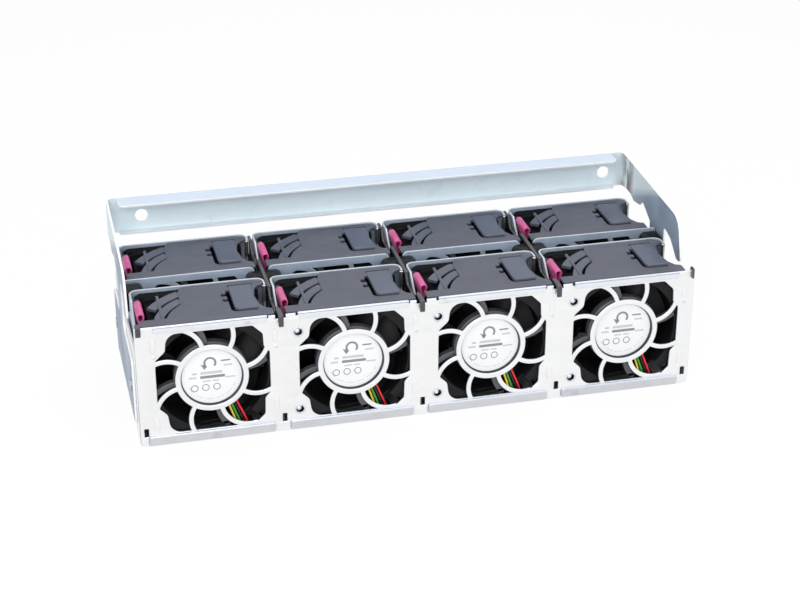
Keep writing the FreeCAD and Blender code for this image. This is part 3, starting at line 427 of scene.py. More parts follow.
def object_noise(tree: Tree, scale: object, stretch: Triple = (1, 1, 1),
                 detail: float = 4.0, rough: float = 0.55) -> Socket:
    """Noise on Object coordinates, stretched along the axes.

    Args:
        tree: where the nodes go.
        scale: a number, or a socket that gives it.
        stretch: factor on each axis; a small one draws the noise out.
        detail: octaves of noise.
        rough: share that each octave keeps.

    Returns:
        The noise's factor.
    """
    place = tree.nodes.new("ShaderNodeTexCoord")
    mapping = tree.nodes.new("ShaderNodeMapping")
    mapping.inputs["Scale"].default_value = stretch
    noise = tree.nodes.new("ShaderNodeTexNoise")
    noise.inputs["Detail"].default_value = detail
    noise.inputs["Roughness"].default_value = rough
    tree.links.new(place.outputs["Object"], mapping.inputs["Vector"])
    tree.links.new(mapping.outputs[0], noise.inputs["Vector"])
    if isinstance(scale, Socket):
        tree.links.new(scale, noise.inputs["Scale"])
    else:
        noise.inputs["Scale"].default_value = float(scale)
    return noise.outputs["Fac"]


def axes(tree: Tree, kind: str, output: str) -> Sequence[Socket]:
    """X, Y and Z of a vector that a new node of that kind gives.

    Args:
        tree: where the nodes go.
        kind: the node that gives the vector.
        output: that node's output.

    Returns:
        Three sockets.
    """
    split = tree.nodes.new("ShaderNodeSeparateXYZ")
    tree.links.new(tree.nodes.new(kind).outputs[output], split.inputs[0])
    return split.outputs


def deliver(tree: Tree, value: Socket, share: Socket, target: Socket, clamp: bool = False) -> None:
    """Link a value times a share to a target."""
    tree.links.new(math_node(tree, "MULTIPLY", value, share, clamp=clamp), target)


def shared(outputs: Sequence[str], **inputs: float) -> Callable[[Filler], Callable[[], Tree]]:
    """Make a filler into a node group that several finishes share and that is built once.

    Args:
        outputs: names of the group's value outputs.
        inputs: its value inputs with their defaults; names use underscores for spaces.

    Returns:
        A decorator whose result gives the node tree.
    """

    def wrap(fill: Filler) -> Callable[[], Tree]:
        """Put the filler behind a function that builds its group when first asked."""

        @cache
        @wraps(fill)
        def group() -> Tree:
            """Build the group between its input and output nodes."""
            tree = bpy.data.node_groups.new(fill.__name__, "ShaderNodeTree")
            for label, value in inputs.items():
                socket = tree.interface.new_socket(name=label.replace("_", " "), in_out="INPUT",
                                                   socket_type="NodeSocketFloat")
                socket.default_value = value
            for label in outputs:
                tree.interface.new_socket(name=label, in_out="OUTPUT", socket_type="NodeSocketFloat")
            fill(tree, tree.nodes.new("NodeGroupInput"), tree.nodes.new("NodeGroupOutput"))
            return tree

        return group

    return wrap


@shared(("Tone", "Height"), Scale=900.0, Strength=1.0)
def rolled_streaks(tree: Tree, source: Node, sink: Node) -> None:
    """Fine lines along X with broad cloudy patches, as rolling leaves them.

    Args:
        tree: the group to fill.
        source: its input node.
        sink: its output node.
    """
    fine = object_noise(tree, source.outputs["Scale"], (0.05, 1.0, 1.0), 5.0, 0.7)
    broad = object_noise(tree, 22.0, (0.35, 1.0, 1.0), 3.0, 0.5)
    mixed = math_node(tree, "ADD", math_node(tree, "MULTIPLY", fine, 0.6),
                      math_node(tree, "MULTIPLY", broad, 0.4))
    centred = math_node(tree, "SUBTRACT", mixed, 0.5)
    deliver(tree, centred, source.outputs["Strength"], sink.inputs["Tone"])
    tree.links.new(fine, sink.inputs["Height"])


@shared(("Tone",), Scale=260.0, Strength=0.2)
def zinc_spangle(tree: Tree, source: Node, sink: Node) -> None:
    """Flat crystal patches of hot-dip zinc: each Voronoi cell has its own tone.

    Args:
        tree: the group to fill.
        source: its input node.
        sink: its output node.
    """
    place = tree.nodes.new("ShaderNodeTexCoord")
    cells = tree.nodes.new("ShaderNodeTexVoronoi")
    split = tree.nodes.new("ShaderNodeSeparateColor")
    tree.links.new(place.outputs["Object"], cells.inputs["Vector"])
    tree.links.new(source.outputs["Scale"], cells.inputs["Scale"])
    tree.links.new(cells.outputs["Color"], split.inputs[0])
    centred = math_node(tree, "SUBTRACT", split.outputs[0], 0.5)
    deliver(tree, centred, source.outputs["Strength"], sink.inputs["Tone"])


@shared(("Mask",), Scale=120.0, Threshold=0.6, Amount=1.0)
def handling_marks(tree: Tree, source: Node, sink: Node) -> None:
    """Sparse scuffs and specks: thresholded noise, for tone and roughness.

    Args:
        tree: the group to fill.
        source: its input node.
        sink: its output node.
    """
    specks = object_noise(tree, source.outputs["Scale"], (1, 1, 1), 6.0, 0.65)
    raised = math_node(tree, "SUBTRACT", specks, source.outputs["Threshold"])
    sharp = math_node(tree, "MULTIPLY", raised, 9.0, clamp=True)
    deliver(tree, sharp, source.outputs["Amount"], sink.inputs["Mask"])


@shared(("Mask",), Amount=0.2)
def settled_dust(tree: Tree, source: Node, sink: Node) -> None:
    """Dust on faces that look up: the normal's z times cloudy noise.

    Args:
        tree: the group to fill.
        source: its input node.
        sink: its output node.
    """
    normal = axes(tree, "ShaderNodeNewGeometry", "Normal")
    facing = math_node(tree, "MULTIPLY", normal[2], 1.0, clamp=True)
    cloud = object_noise(tree, 90.0, (1, 1, 1), 6.0, 0.7)
    patchy = math_node(tree, "MULTIPLY", math_node(tree, "SUBTRACT", cloud, 0.38), 3.0, clamp=True)
    dusty = math_node(tree, "MULTIPLY", facing, patchy)
    deliver(tree, dusty, source.outputs["Amount"], sink.inputs["Mask"])


@shared(("Height", "Tone"), Scale=2600.0)
def moulded_grain(tree: Tree, source: Node, sink: Node) -> None:
    """Spark-eroded mould texture: fine noise for height and a faint tone.

    Args:
        tree: the group to fill.
        source: its input node.
        sink: its output node.
    """
    fine = object_noise(tree, source.outputs["Scale"], (1, 1, 1), 3.0, 0.6)
    broad = object_noise(tree, 60.0, (1, 1, 1), 4.0, 0.6)
    tree.links.new(fine, sink.inputs["Height"])
    tree.links.new(math_node(tree, "SUBTRACT", broad, 0.5), sink.inputs["Tone"])


@shared(("Mask",), Amount=0.5, Level=1.0, Slope_Y=0.0, Slope_Z=0.0)
def lee_shade(tree: Tree, source: Node, sink: Node) -> None:
    """Painted shade on faces that look towards -X, by the negative of the normal's x, uneven with broad
    noise.

    The painted shade fades in along a plane: level less Y times one slope and Z times the other.

    Args:
        tree: the group to fill.
        source: its input node.
        sink: its output node.
    """
    normal = axes(tree, "ShaderNodeNewGeometry", "Normal")
    facing = math_node(tree, "MULTIPLY", normal[0], -1.0, clamp=True)
    broad = object_noise(tree, 26.0, (1, 1, 1), 2.0, 0.5)
    uneven = math_node(tree, "ADD", math_node(tree, "MULTIPLY", broad, 1.1), 0.25, clamp=True)
    shade = math_node(tree, "MULTIPLY", facing, uneven)
    place = axes(tree, "ShaderNodeTexCoord", "Object")
    along = math_node(tree, "MULTIPLY", place[1], source.outputs["Slope Y"])
    upward = math_node(tree, "MULTIPLY", place[2], source.outputs["Slope Z"])
    fade = math_node(tree, "SUBTRACT", source.outputs["Level"], math_node(tree, "ADD", along, upward),
                     clamp=True)
    faded = math_node(tree, "MULTIPLY", shade, fade)
    deliver(tree, faded, source.outputs["Amount"], sink.inputs["Mask"])


@shared(("Mask",), X=0.0, Y=0.0, Reach=0.01, Amount=0.0)
def bend_smear(tree: Tree, source: Node, sink: Node) -> None:
    """Smear round an upright line: one less the distance over the reach, broken up by noise.

    Args:
        tree: the group to fill.
        source: its input node.
        sink: its output node.
    """
    place = axes(tree, "ShaderNodeTexCoord", "Object")
    squares = []
    for index, label in enumerate(("X", "Y")):
        away = math_node(tree, "SUBTRACT", place[index], source.outputs[label])
        squares.append(math_node(tree, "MULTIPLY", away, away))
    distance = math_node(tree, "SQRT", math_node(tree, "ADD", *squares))
    share = math_node(tree, "DIVIDE", distance, source.outputs["Reach"])
    near = math_node(tree, "SUBTRACT", 1.0, share, clamp=True)
    cloud = object_noise(tree, 130.0, (1, 1, 0.35), 4.0, 0.6)
    broken = math_node(tree, "MULTIPLY", math_node(tree, "SUBTRACT", cloud, 0.36), 4.5, clamp=True)
    both = math_node(tree, "MULTIPLY", near, broken)
    deliver(tree, both, source.outputs["Amount"], sink.inputs["Mask"], clamp=True)


def placed(tree: Tree, group: Tree, **values: float) -> Node:
    """Put a group in a material with its own values; names use underscores for spaces.

    Args:
        tree: the material's nodes.
        group: the node group.
        **values: the group's inputs in this material.

    Returns:
        The group's node.
    """
    node = tree.nodes.new("ShaderNodeGroup")
    node.node_tree = group
    for label, value in values.items():
        node.inputs[label.replace("_", " ")].default_value = value
    return node


def shaded(tree: Tree, colour: Triple, tone: Socket,
           dark: float, light: float) -> Socket:
    """Colour ramp from a darker to a lighter shade of one colour by a tone around zero.

    Args:
        tree: the material's nodes.
        colour: the middle tone.
        tone: from -0.5 for the darkest to 0.5 for the lightest.
        dark: factor on the colour at the dark end.
        light: factor at the light end.

    Returns:
        The mixed colour.
    """
    ramp = tree.nodes.new("ShaderNodeMix")
    ramp.data_type = "RGBA"
    ramp.inputs[6].default_value = tuple(c * dark for c in colour) + (1,)
    ramp.inputs[7].default_value = tuple(min(c * light, 1) for c in colour) + (1,)
    tree.links.new(math_node(tree, "ADD", tone, 0.5, clamp=True), ramp.inputs[0])
    return ramp.outputs[2]


def tinted(tree: Tree, base: Socket, over: Triple,
           mask: Socket) -> Socket:
    """Lay one flat colour over another by a mask.

    Args:
        tree: the material's nodes.
        base: the colour underneath.
        over: the colour laid on.
        mask: how much of it shows, from 0 to 1.

    Returns:
        The mixed colour.
    """
    mix = tree.nodes.new("ShaderNodeMix")
    mix.data_type = "RGBA"
    tree.links.new(mask, mix.inputs[0])
    tree.links.new(base, mix.inputs[6])
    mix.inputs[7].default_value = over + (1,)
    return mix.outputs[2]


def new_material(name: str) -> tuple[bpy.types.Material, Tree, Node]:
    """Empty node material with its Principled shader.

    Args:
        name: the material's name.

    Returns:
        The material, its nodes and that shader.
    """
    material = bpy.data.materials.new(name)
    material.use_nodes = True
    tree = material.node_tree
    return material, tree, tree.nodes["Principled BSDF"]


def bump(tree: Tree, shader: Node, height: Socket,
         depth: float, strength: float) -> None:
    """Feed a height into the shader's normal.

    Args:
        tree: the material's nodes.
        shader: the material's shader.
        height: height from 0 to 1.
        depth: what a height of 1 stands for, in metres.
        strength: share of the bump that shows.
    """
    node = tree.nodes.new("ShaderNodeBump")
    node.inputs["Distance"].default_value = depth
    node.inputs["Strength"].default_value = strength
    tree.links.new(height, node.inputs["Height"])
    tree.links.new(node.outputs[0], shader.inputs["Normal"])


SCUFF_COLOUR: Triple = (0.36, 0.34, 0.32)
# colour of the painted shade on faces that look towards -X
PAINTED_SHADE_COLOUR: Triple = (0.12, 0.19, 0.32)
SMEAR_COLOUR: Triple = (0.16, 0.13, 0.12)


@dataclass(frozen=True)
class SheetFinish:
    """Zinc-coated steel sheet, rolled, handled and a little stained.

    Attributes:
        name: the material's name.
        colour: its middle tone.
        roughness: before streaks and scuffs add to it.
        metallic: share of metal.
        contrast: strength of the rolled streaks.
        spangle: strength of the zinc crystals' tones.
        spangle_scale: how fine the crystals are.
        stain: amount of scuffs and specks.
        lee: amount of painted shade on faces that look towards -X.
        fade: level and the slopes along Y and Z by which that shade fades in.
        smear: x, y and reach of an upright smear, in metres, and its amount.
    """

    name: str
    colour: Triple
    roughness: float = 0.34
    metallic: float = 0.9
    contrast: float = 0.7
    spangle: float = 0.25
    spangle_scale: float = 220.0
    stain: float = 0.15
    lee: float = 0.0
    fade: Triple = (1.0, 0.0, 0.0)
    smear: tuple[float, float, float, float] = (0.0, 0.0, 0.01, 0.0)

    def material(self) -> bpy.types.Material:
        """Streaks and spangle tone the colour; scuffs, painted shade and smears darken it.

        Returns:
            The material.
        """
        material, tree, shader = new_material(self.name)
        streaks = placed(tree, rolled_streaks(), Strength=self.contrast)
        cells = placed(tree, zinc_spangle(), Scale=self.spangle_scale, Strength=self.spangle)
        tone = math_node(tree, "ADD", streaks.outputs["Tone"], cells.outputs["Tone"])
        marks = placed(tree, handling_marks(), Scale=70.0, Threshold=0.58, Amount=self.stain)
        base = shaded(tree, self.colour, tone, 0.8, 1.14)
        worn = tinted(tree, base, SCUFF_COLOUR, marks.outputs["Mask"])
        # painted shade on faces that look towards -X, faded in along a plane
        if self.lee:
            level, along, upward = self.fade
            shade = placed(tree, lee_shade(), Amount=self.lee, Level=level, Slope_Y=along, Slope_Z=upward)
            worn = tinted(tree, worn, PAINTED_SHADE_COLOUR, shade.outputs["Mask"])
        if self.smear[3]:
            across, along, reach, amount = self.smear
            smear = placed(tree, bend_smear(), X=across, Y=along, Reach=reach, Amount=amount)
            worn = tinted(tree, worn, SMEAR_COLOUR, smear.outputs["Mask"])
        tree.links.new(worn, shader.inputs["Base Color"])
        shader.inputs["Metallic"].default_value = self.metallic
        rough = math_node(tree, "ADD", math_node(tree, "MULTIPLY", tone, 0.18), self.roughness)
        rough = math_node(tree, "ADD", rough, math_node(tree, "MULTIPLY", marks.outputs["Mask"], 0.5))
        tree.links.new(rough, shader.inputs["Roughness"])
        bump(tree, shader, streaks.outputs["Height"], 0.00002, 0.35)
        return material


@dataclass(frozen=True)
class MouldedFinish:
    """Moulded plastic with a mould grain, dust on top and a slight sheen.

    Attributes:
        name: the material's name.
        colour: its middle tone.
        roughness: before wear and dust add to it.
        grain: strength of the mould grain's bump.
        grain_scale: how fine the grain is.
        dust: amount of dust on what faces up.
        coat: weight of a clear coat.
        dust_colour: what the dust turns the colour to.
        sheen: specular level.
    """

    name: str
    colour: Triple
    roughness: float = 0.45
    grain: float = 0.5
    grain_scale: float = 2600.0
    dust: float = 0.1
    coat: float = 0.0
    dust_colour: Triple = (0.3, 0.29, 0.28)
    sheen: float = 0.5

    def material(self) -> bpy.types.Material:
        """Grain gives bump and tone; dust lightens and dulls what faces up.

        Returns:
            The material.
        """
        material, tree, shader = new_material(self.name)
        grain = placed(tree, moulded_grain(), Scale=self.grain_scale)
        dust = placed(tree, settled_dust(), Amount=self.dust)
        base = shaded(tree, self.colour, grain.outputs["Tone"], 0.75, 1.3)
        dusty = tinted(tree, base, self.dust_colour, dust.outputs["Mask"])
        tree.links.new(dusty, shader.inputs["Base Color"])
        wear = math_node(tree, "MULTIPLY", grain.outputs["Tone"], 0.25)
        rough = math_node(tree, "ADD", math_node(tree, "ADD", wear, self.roughness),
                          math_node(tree, "MULTIPLY", dust.outputs["Mask"], 0.8), clamp=True)
        tree.links.new(rough, shader.inputs["Roughness"])
        shader.inputs["Coat Weight"].default_value = self.coat
        shader.inputs["Coat Roughness"].default_value = 0.15
        shader.inputs["Specular IOR Level"].default_value = self.sheen
        bump(tree, shader, grain.outputs["Height"], 0.00004, self.grain)
        return material


@dataclass(frozen=True)
class PrintedFinish:
    """Label stock or ink: smooth, faintly uneven."""

    name: str
    colour: Triple
    roughness: float = 0.4

    def material(self) -> bpy.types.Material:
        """Cloudy tone and a fine paper tooth.

        Returns:
            The material.
        """
        material, tree, shader = new_material(self.name)
        tooth = placed(tree, moulded_grain(), Scale=1800.0)
        base = shaded(tree, self.colour, tooth.outputs["Tone"], 0.96, 1.04)
        tree.links.new(base, shader.inputs["Base Color"])
        wear = math_node(tree, "MULTIPLY", tooth.outputs["Tone"], 0.1)
        tree.links.new(math_node(tree, "ADD", wear, self.roughness), shader.inputs["Roughness"])
        bump(tree, shader, tooth.outputs["Height"], 0.00001, 0.2)
        return material


class Finishes:
    """All the part's materials, each built once."""

    TABLE = {finish.name: finish for finish in (
        # name, colour, roughness, metallic, contrast, spangle, its scale, stain, lee, fade, smear
        SheetFinish("bright_sheet", (0.9, 0.905, 0.915), 0.36, 0.85, 0.35, 0.05, 240, 0.1),
        SheetFinish("hem_sheet", (0.8, 0.815, 0.85), 0.32, 0.8, 0.9, 0.1, 240, 0.45),
        # edge_sheet: the front panel's cut edges, partly the darker raw steel of a cut and partly painted
        # shade and painted reflection of the dark interior; its lee adds painted shade to edges that look
        # towards -X
        SheetFinish("edge_sheet", (0.62, 0.67, 0.75), 0.4, 0.5, 0.4, 0.05, 240, 0.2, 0.9),
        # pad_edge: darker grey-blue on the flanks of embossed pads and hem strips and on the drawn eye
        # collars and pips: painted shade on pressed metal
        SheetFinish("pad_edge", (0.66, 0.69, 0.74), 0.4, 0.5, 0.3, 0.05, 240, 0.1),
        SheetFinish("wall_sheet", (0.5, 0.6, 0.73), 0.36, 0.4, 1.0, 0.2, 240, 0.25),
        SheetFinish("low_hem", (0.63, 0.64, 0.67), 0.32, 0.8, 0.9, 0.1, 240, 0.45),
        # bluish strip just under the top of the upper hem: painted shadow of the fold
        SheetFinish("painted_fold_shadow", (0.4, 0.47, 0.58), 0.5, 0.3, 0.5, 0.05, 240, 0.1),
        # rail_sheet: its lee and fade paint shade on the side plates' inner faces that look towards -X,
        # growing away from the web; its smear is a stain
        SheetFinish("rail_sheet", (0.79, 0.91, 1.0), 0.45, 0.0, 0.35, 0.06, 90, 0.16, 0.9,
                                  (15.9, 70.5, 178.75), (0.1466, 0.0490, 0.0115, 1.7)),
        # lip_sheet: darker copy of the rail's sheet for the upper flange, which faces up: painted shade that
        # keeps its lit top from glaring
        SheetFinish("lip_sheet", (0.62, 0.71, 0.83), 0.4, 0.25, 0.35, 0.06, 90, 0.1),
        SheetFinish("wall_edge", (0.58, 0.62, 0.67), 0.4, 0.25, 0.2, 0.03, 90, 0.05),
        # rail_edge: near-white on the edges of the rail and its flanges, brighter than the upper flange:
        # painted highlight along those edges
        SheetFinish("rail_edge", (0.93, 0.94, 0.95), 0.4, 0.25, 0.2, 0.03, 90, 0.05),
        SheetFinish("dark_clip", (0.1, 0.09, 0.1), 0.3, 0.6, 0.8, 0.2, 240, 0.3),
        SheetFinish("clip", (0.5, 0.5, 0.5), 0.3, 0.95, 0.6, 0.1, 240, 0.3),
        # name, colour, roughness, grain, its scale, dust, coat, dust colour, sheen
        MouldedFinish("cover", (0.064, 0.071, 0.1), 0.5, 0.8, 2200, 0.1),
        MouldedFinish("frame", (0.007, 0.007, 0.008), 0.5, 0.4, 2600, 0.02, sheen=0.2),
        # floor: near-black for the floor and ledge of the cover's sunk corner, darker than the cover's own
        # plastic: painted shade in the recess
        MouldedFinish("floor", (0.006, 0.006, 0.007), 0.6, 0.4, 2600, 0.0, sheen=0.03),
        MouldedFinish("strut", (0.075, 0.075, 0.085), 0.42, 0.2, 2600, 0.03),
        MouldedFinish("slat", (0.066, 0.075, 0.106), 0.4, 0.4, 2600, 0.05),
        MouldedFinish("paddle", (0.07, 0.084, 0.128), 0.36, 0.15, 2600, 0.05),
        MouldedFinish("blade", (0.006, 0.006, 0.007), 0.45, 0.15, 2600, 0.02, sheen=0.15),
        MouldedFinish("divider", (0.045, 0.048, 0.056), 0.3, 0.3, 2600, 0.05),
        MouldedFinish("gloss", (0.01, 0.01, 0.012), 0.16, 0.05, 2600, 0.01, sheen=0.2),
        MouldedFinish("spacer", (0.006, 0.006, 0.008), 0.13, 0.05, 2600, 0.0, sheen=0.07),
        MouldedFinish("latch", (0.58, 0.08, 0.26), 0.34, 0.15, 2600, 0.03, 0.15, (0.7, 0.4, 0.5)),
        MouldedFinish("red_lead", (0.72, 0.02, 0.03), 0.35, 0.05, 2600, 0.0),
        MouldedFinish("black_lead", (0.01, 0.01, 0.01), 0.35, 0.05, 2600, 0.0),
        MouldedFinish("yellow_lead", (0.78, 0.58, 0.03), 0.35, 0.05, 2600, 0.0),
        MouldedFinish("green_lead", (0.05, 0.32, 0.05), 0.35, 0.05, 2600, 0.0),
        # name, colour, roughness
        PrintedFinish("label", (0.765, 0.77, 0.775), 0.35),
        PrintedFinish("ink", (0.22, 0.22, 0.23), 0.5),
        PrintedFinish("pale_ink", (0.5, 0.5, 0.51), 0.5),
    )}
    made: dict[str, bpy.types.Material] = {}

    @classmethod
    def get(cls, name: str) -> bpy.types.Material:
        """Material of that name, built when first asked for.

        Args:
            name: a finish of the table.

        Returns:
            The material.
        """
        if name not in cls.made:
            cls.made[name] = cls.TABLE[name].material()
        return cls.made[name]


# ---- pieces -------------------------------------------------------------------------------------


@dataclass
class Part3D:
    """One visible piece: shells with their finishes, joined with the object's zero at the origin.

    Attributes:
        name: the piece's name.
        body: the body that it rides on.
        slot: the record's slot for the piece; not used.
        stands_for: CAD nodes that it takes the place of.
        origin: where the shells' own zero stands, in millimetres.
        shells: (mesh in millimetres, finish, finish of its edge faces).
    """

    name: str
    body: str
    slot: str
    stands_for: tuple[str, ...] = ()
    origin: Triple = (0, 0, 0)
    shells: list[tuple[Mesh, str, str]] = field(default_factory=list)

    def add(self, mesh: Mesh, finish: str, offset: Sequence[float] = (0, 0, 0),
            edge: str = "") -> None:
        """Add a copy of a shell.

        Args:
            mesh: the shell, in millimetres.
            finish: finish of its faces.
            offset: where it goes, from the piece's origin.
            edge: finish of a sheet's edge faces, where that differs; several edge finishes paint shade or
                highlight.
        """
        place = np.array(offset, float) + self.origin
        self.shells.append((shifted(mesh, place), finish, edge or finish))

    def build(self, sharp: float = 32.0) -> bpy.types.Object:
        """Join the shells into one object, scaled to metres.

        Args:
            sharp: edges that turn more than this many degrees stay sharp.

        Returns:
            The object, riding on its body.
        """
        names = list(dict.fromkeys(name for _, *pair in self.shells for name in pair))
        work = bmesh.new()
        for mesh, finish, edge in self.shells:
            cut = np.empty(len(mesh.polygons), np.int32)
            mesh.polygons.foreach_get("material_index", cut)
            index = np.where(cut > 0, names.index(edge), names.index(finish)).astype(np.int32)
            mesh.polygons.foreach_set("material_index", index)
            part = bmesh.new()
            part.from_mesh(mesh)
            bmesh.ops.remove_doubles(part, verts=part.verts, dist=1e-4)
            bmesh.ops.dissolve_degenerate(part, dist=1e-5, edges=part.edges)
            bmesh.ops.recalc_face_normals(part, faces=part.faces)
            part.to_mesh(mesh)
            part.free()
            work.from_mesh(mesh)
            bpy.data.meshes.remove(mesh)
        bmesh.ops.scale(work, vec=(MM, MM, MM), verts=work.verts)
        final = bpy.data.meshes.new(self.name)
        work.to_mesh(final)
        work.free()
        final.polygons.foreach_set("use_smooth", np.ones(len(final.polygons), bool))
        final.set_sharp_from_angle(angle=math.radians(sharp))
        for name in names:
            final.materials.append(Finishes.get(name))
        made = linked(self.name, final)
        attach(made, self.body)
        if self.stands_for:
            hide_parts(*self.stands_for)
        self.shells.clear()
        log.info("%s: %d faces on %s", self.name, len(final.polygons), self.body)
        return made


# ---- finger guard and cage sheets ---------------------------------------------------------------


@dataclass
class FingerGuard:
    """Pressed swirl guard of one fan, drawn about the fan's axis.

    Attributes:
        ring_radius: outside of the ring round the motor.
        ring_bore: its hole.
        spokes: how many there are.
        spoke_width: width of a spoke.
        spoke_bend: radius of its middle line.
        spoke_start: angle of the first spoke at the ring, in degrees.
        corners: x, z and radius of the opening's corners.
    """

    ring_radius: float = 18.5
    ring_bore: float = 15.7
    spokes: int = 8
    spoke_width: float = 2.5
    spoke_bend: float = 14.0
    spoke_start: float = 14.0
    corners: tuple[Triple, ...] = (
        (-27.8, 12.4, 2.4), (-22.6, 17.2, 3.2), (-21.6, 26.6, 6.0), (21.0, 26.6, 1.6), (26.0, 21.7, 2.4),
        (26.3, 14.6, 2.4), (29.2, 11.2, 1.2), (29.2, -11.2, 1.2), (26.3, -14.6, 2.4), (26.0, -23.8, 2.4),
        (21.0, -28.7, 1.6), (-21.6, -28.7, 6.0), (-23.0, -18.4, 3.2), (-27.8, -13.6, 2.4),
    )

    def rim(self) -> tuple[Array, Array]:
        """Opening's outline as angle and radius, sorted by angle and wrapped past both ends.

        Returns:
            The angles, and the radius at each.
        """
        outline = rounded(self.corners, 7)
        share = np.linspace(0, 1, 12, endpoint=False)[None, :, None]
        dense = (outline[:, None] * (1 - share) + np.roll(outline, -1, 0)[:, None] * share).reshape(-1, 2)
        angle = np.arctan2(dense[:, 1], dense[:, 0])
        order = np.argsort(angle)
        angle, radius = angle[order], np.hypot(dense[order, 0], dense[order, 1])
        return (np.concatenate([angle - 2 * np.pi, angle, angle + 2 * np.pi]), np.tile(radius, 3))

    def spoke_edge(self, start: float, side: float) -> Array:
        """One edge of a spoke from the ring to the opening's rim.

        The edge is an arc about (ring radius, bend) in the spoke's own frame, at bend plus or minus half
        the width, turned to the spoke's angle and cut where it meets the rim.

        Args:
            start: the spoke's angle at the ring, in radians.
            side: +1 for the edge ahead of the spoke, -1 for the one behind.

        Returns:
            Points from the ring outwards.
        """
        turn = np.linspace(-0.25, 1.6, 260)
        radius = self.spoke_bend - side * self.spoke_width / 2
        x = self.ring_radius + radius * np.sin(turn)
        y = self.spoke_bend - radius * np.cos(turn)
        points = np.stack([x * np.cos(start) - y * np.sin(start), x * np.sin(start) + y * np.cos(start)], 1)
        angle, rim = self.rim()
        out = np.hypot(points[:, 0], points[:, 1])
        limit = np.interp(np.arctan2(points[:, 1], points[:, 0]), angle, rim)
        inside = (out >= self.ring_radius) & (np.cumsum(out >= limit) == 0)
        kept = points[inside]
        return kept[np.unique(np.linspace(0, len(kept) - 1, 22).astype(int))]

    def petals(self) -> list[Array]:
        """Openings between neighbouring spokes: two spoke edges, a stretch of rim and one of ring.

        Returns:
            One closed loop per opening.
        """
        angle, rim = self.rim()
        shapes = []
        for spoke in range(self.spokes):
            here = math.radians(self.spoke_start) + spoke * 2 * math.pi / self.spokes
            ahead = here + 2 * math.pi / self.spokes
            near = self.spoke_edge(here, 1.0)
            far = self.spoke_edge(ahead, -1.0)
            a0 = math.atan2(near[-1, 1], near[-1, 0])
            a1 = a0 + (math.atan2(far[-1, 1], far[-1, 0]) - a0) % (2 * math.pi)
            between = (angle > a0 + 0.004) & (angle < a1 - 0.004)
            arc = np.stack([rim[between] * np.cos(angle[between]), rim[between] * np.sin(angle[between])], 1)
            b0 = math.atan2(far[0, 1], far[0, 0])
            b1 = b0 - (b0 - math.atan2(near[0, 1], near[0, 0])) % (2 * math.pi)
            back = np.linspace(b0, b1, 12)[1:-1]
            ring = self.ring_radius * np.stack([np.cos(back), np.sin(back)], 1)
            shapes.append(distinct(np.concatenate([near, arc[::2], far[::-1], ring])))
        return shapes

    def holes(self, centre: tuple[float, float]) -> list[Array]:
        """All loops of one guard, moved to its fan."""
        return [loop + np.array(centre) for loop in self.petals() + [circle(self.ring_bore)]]


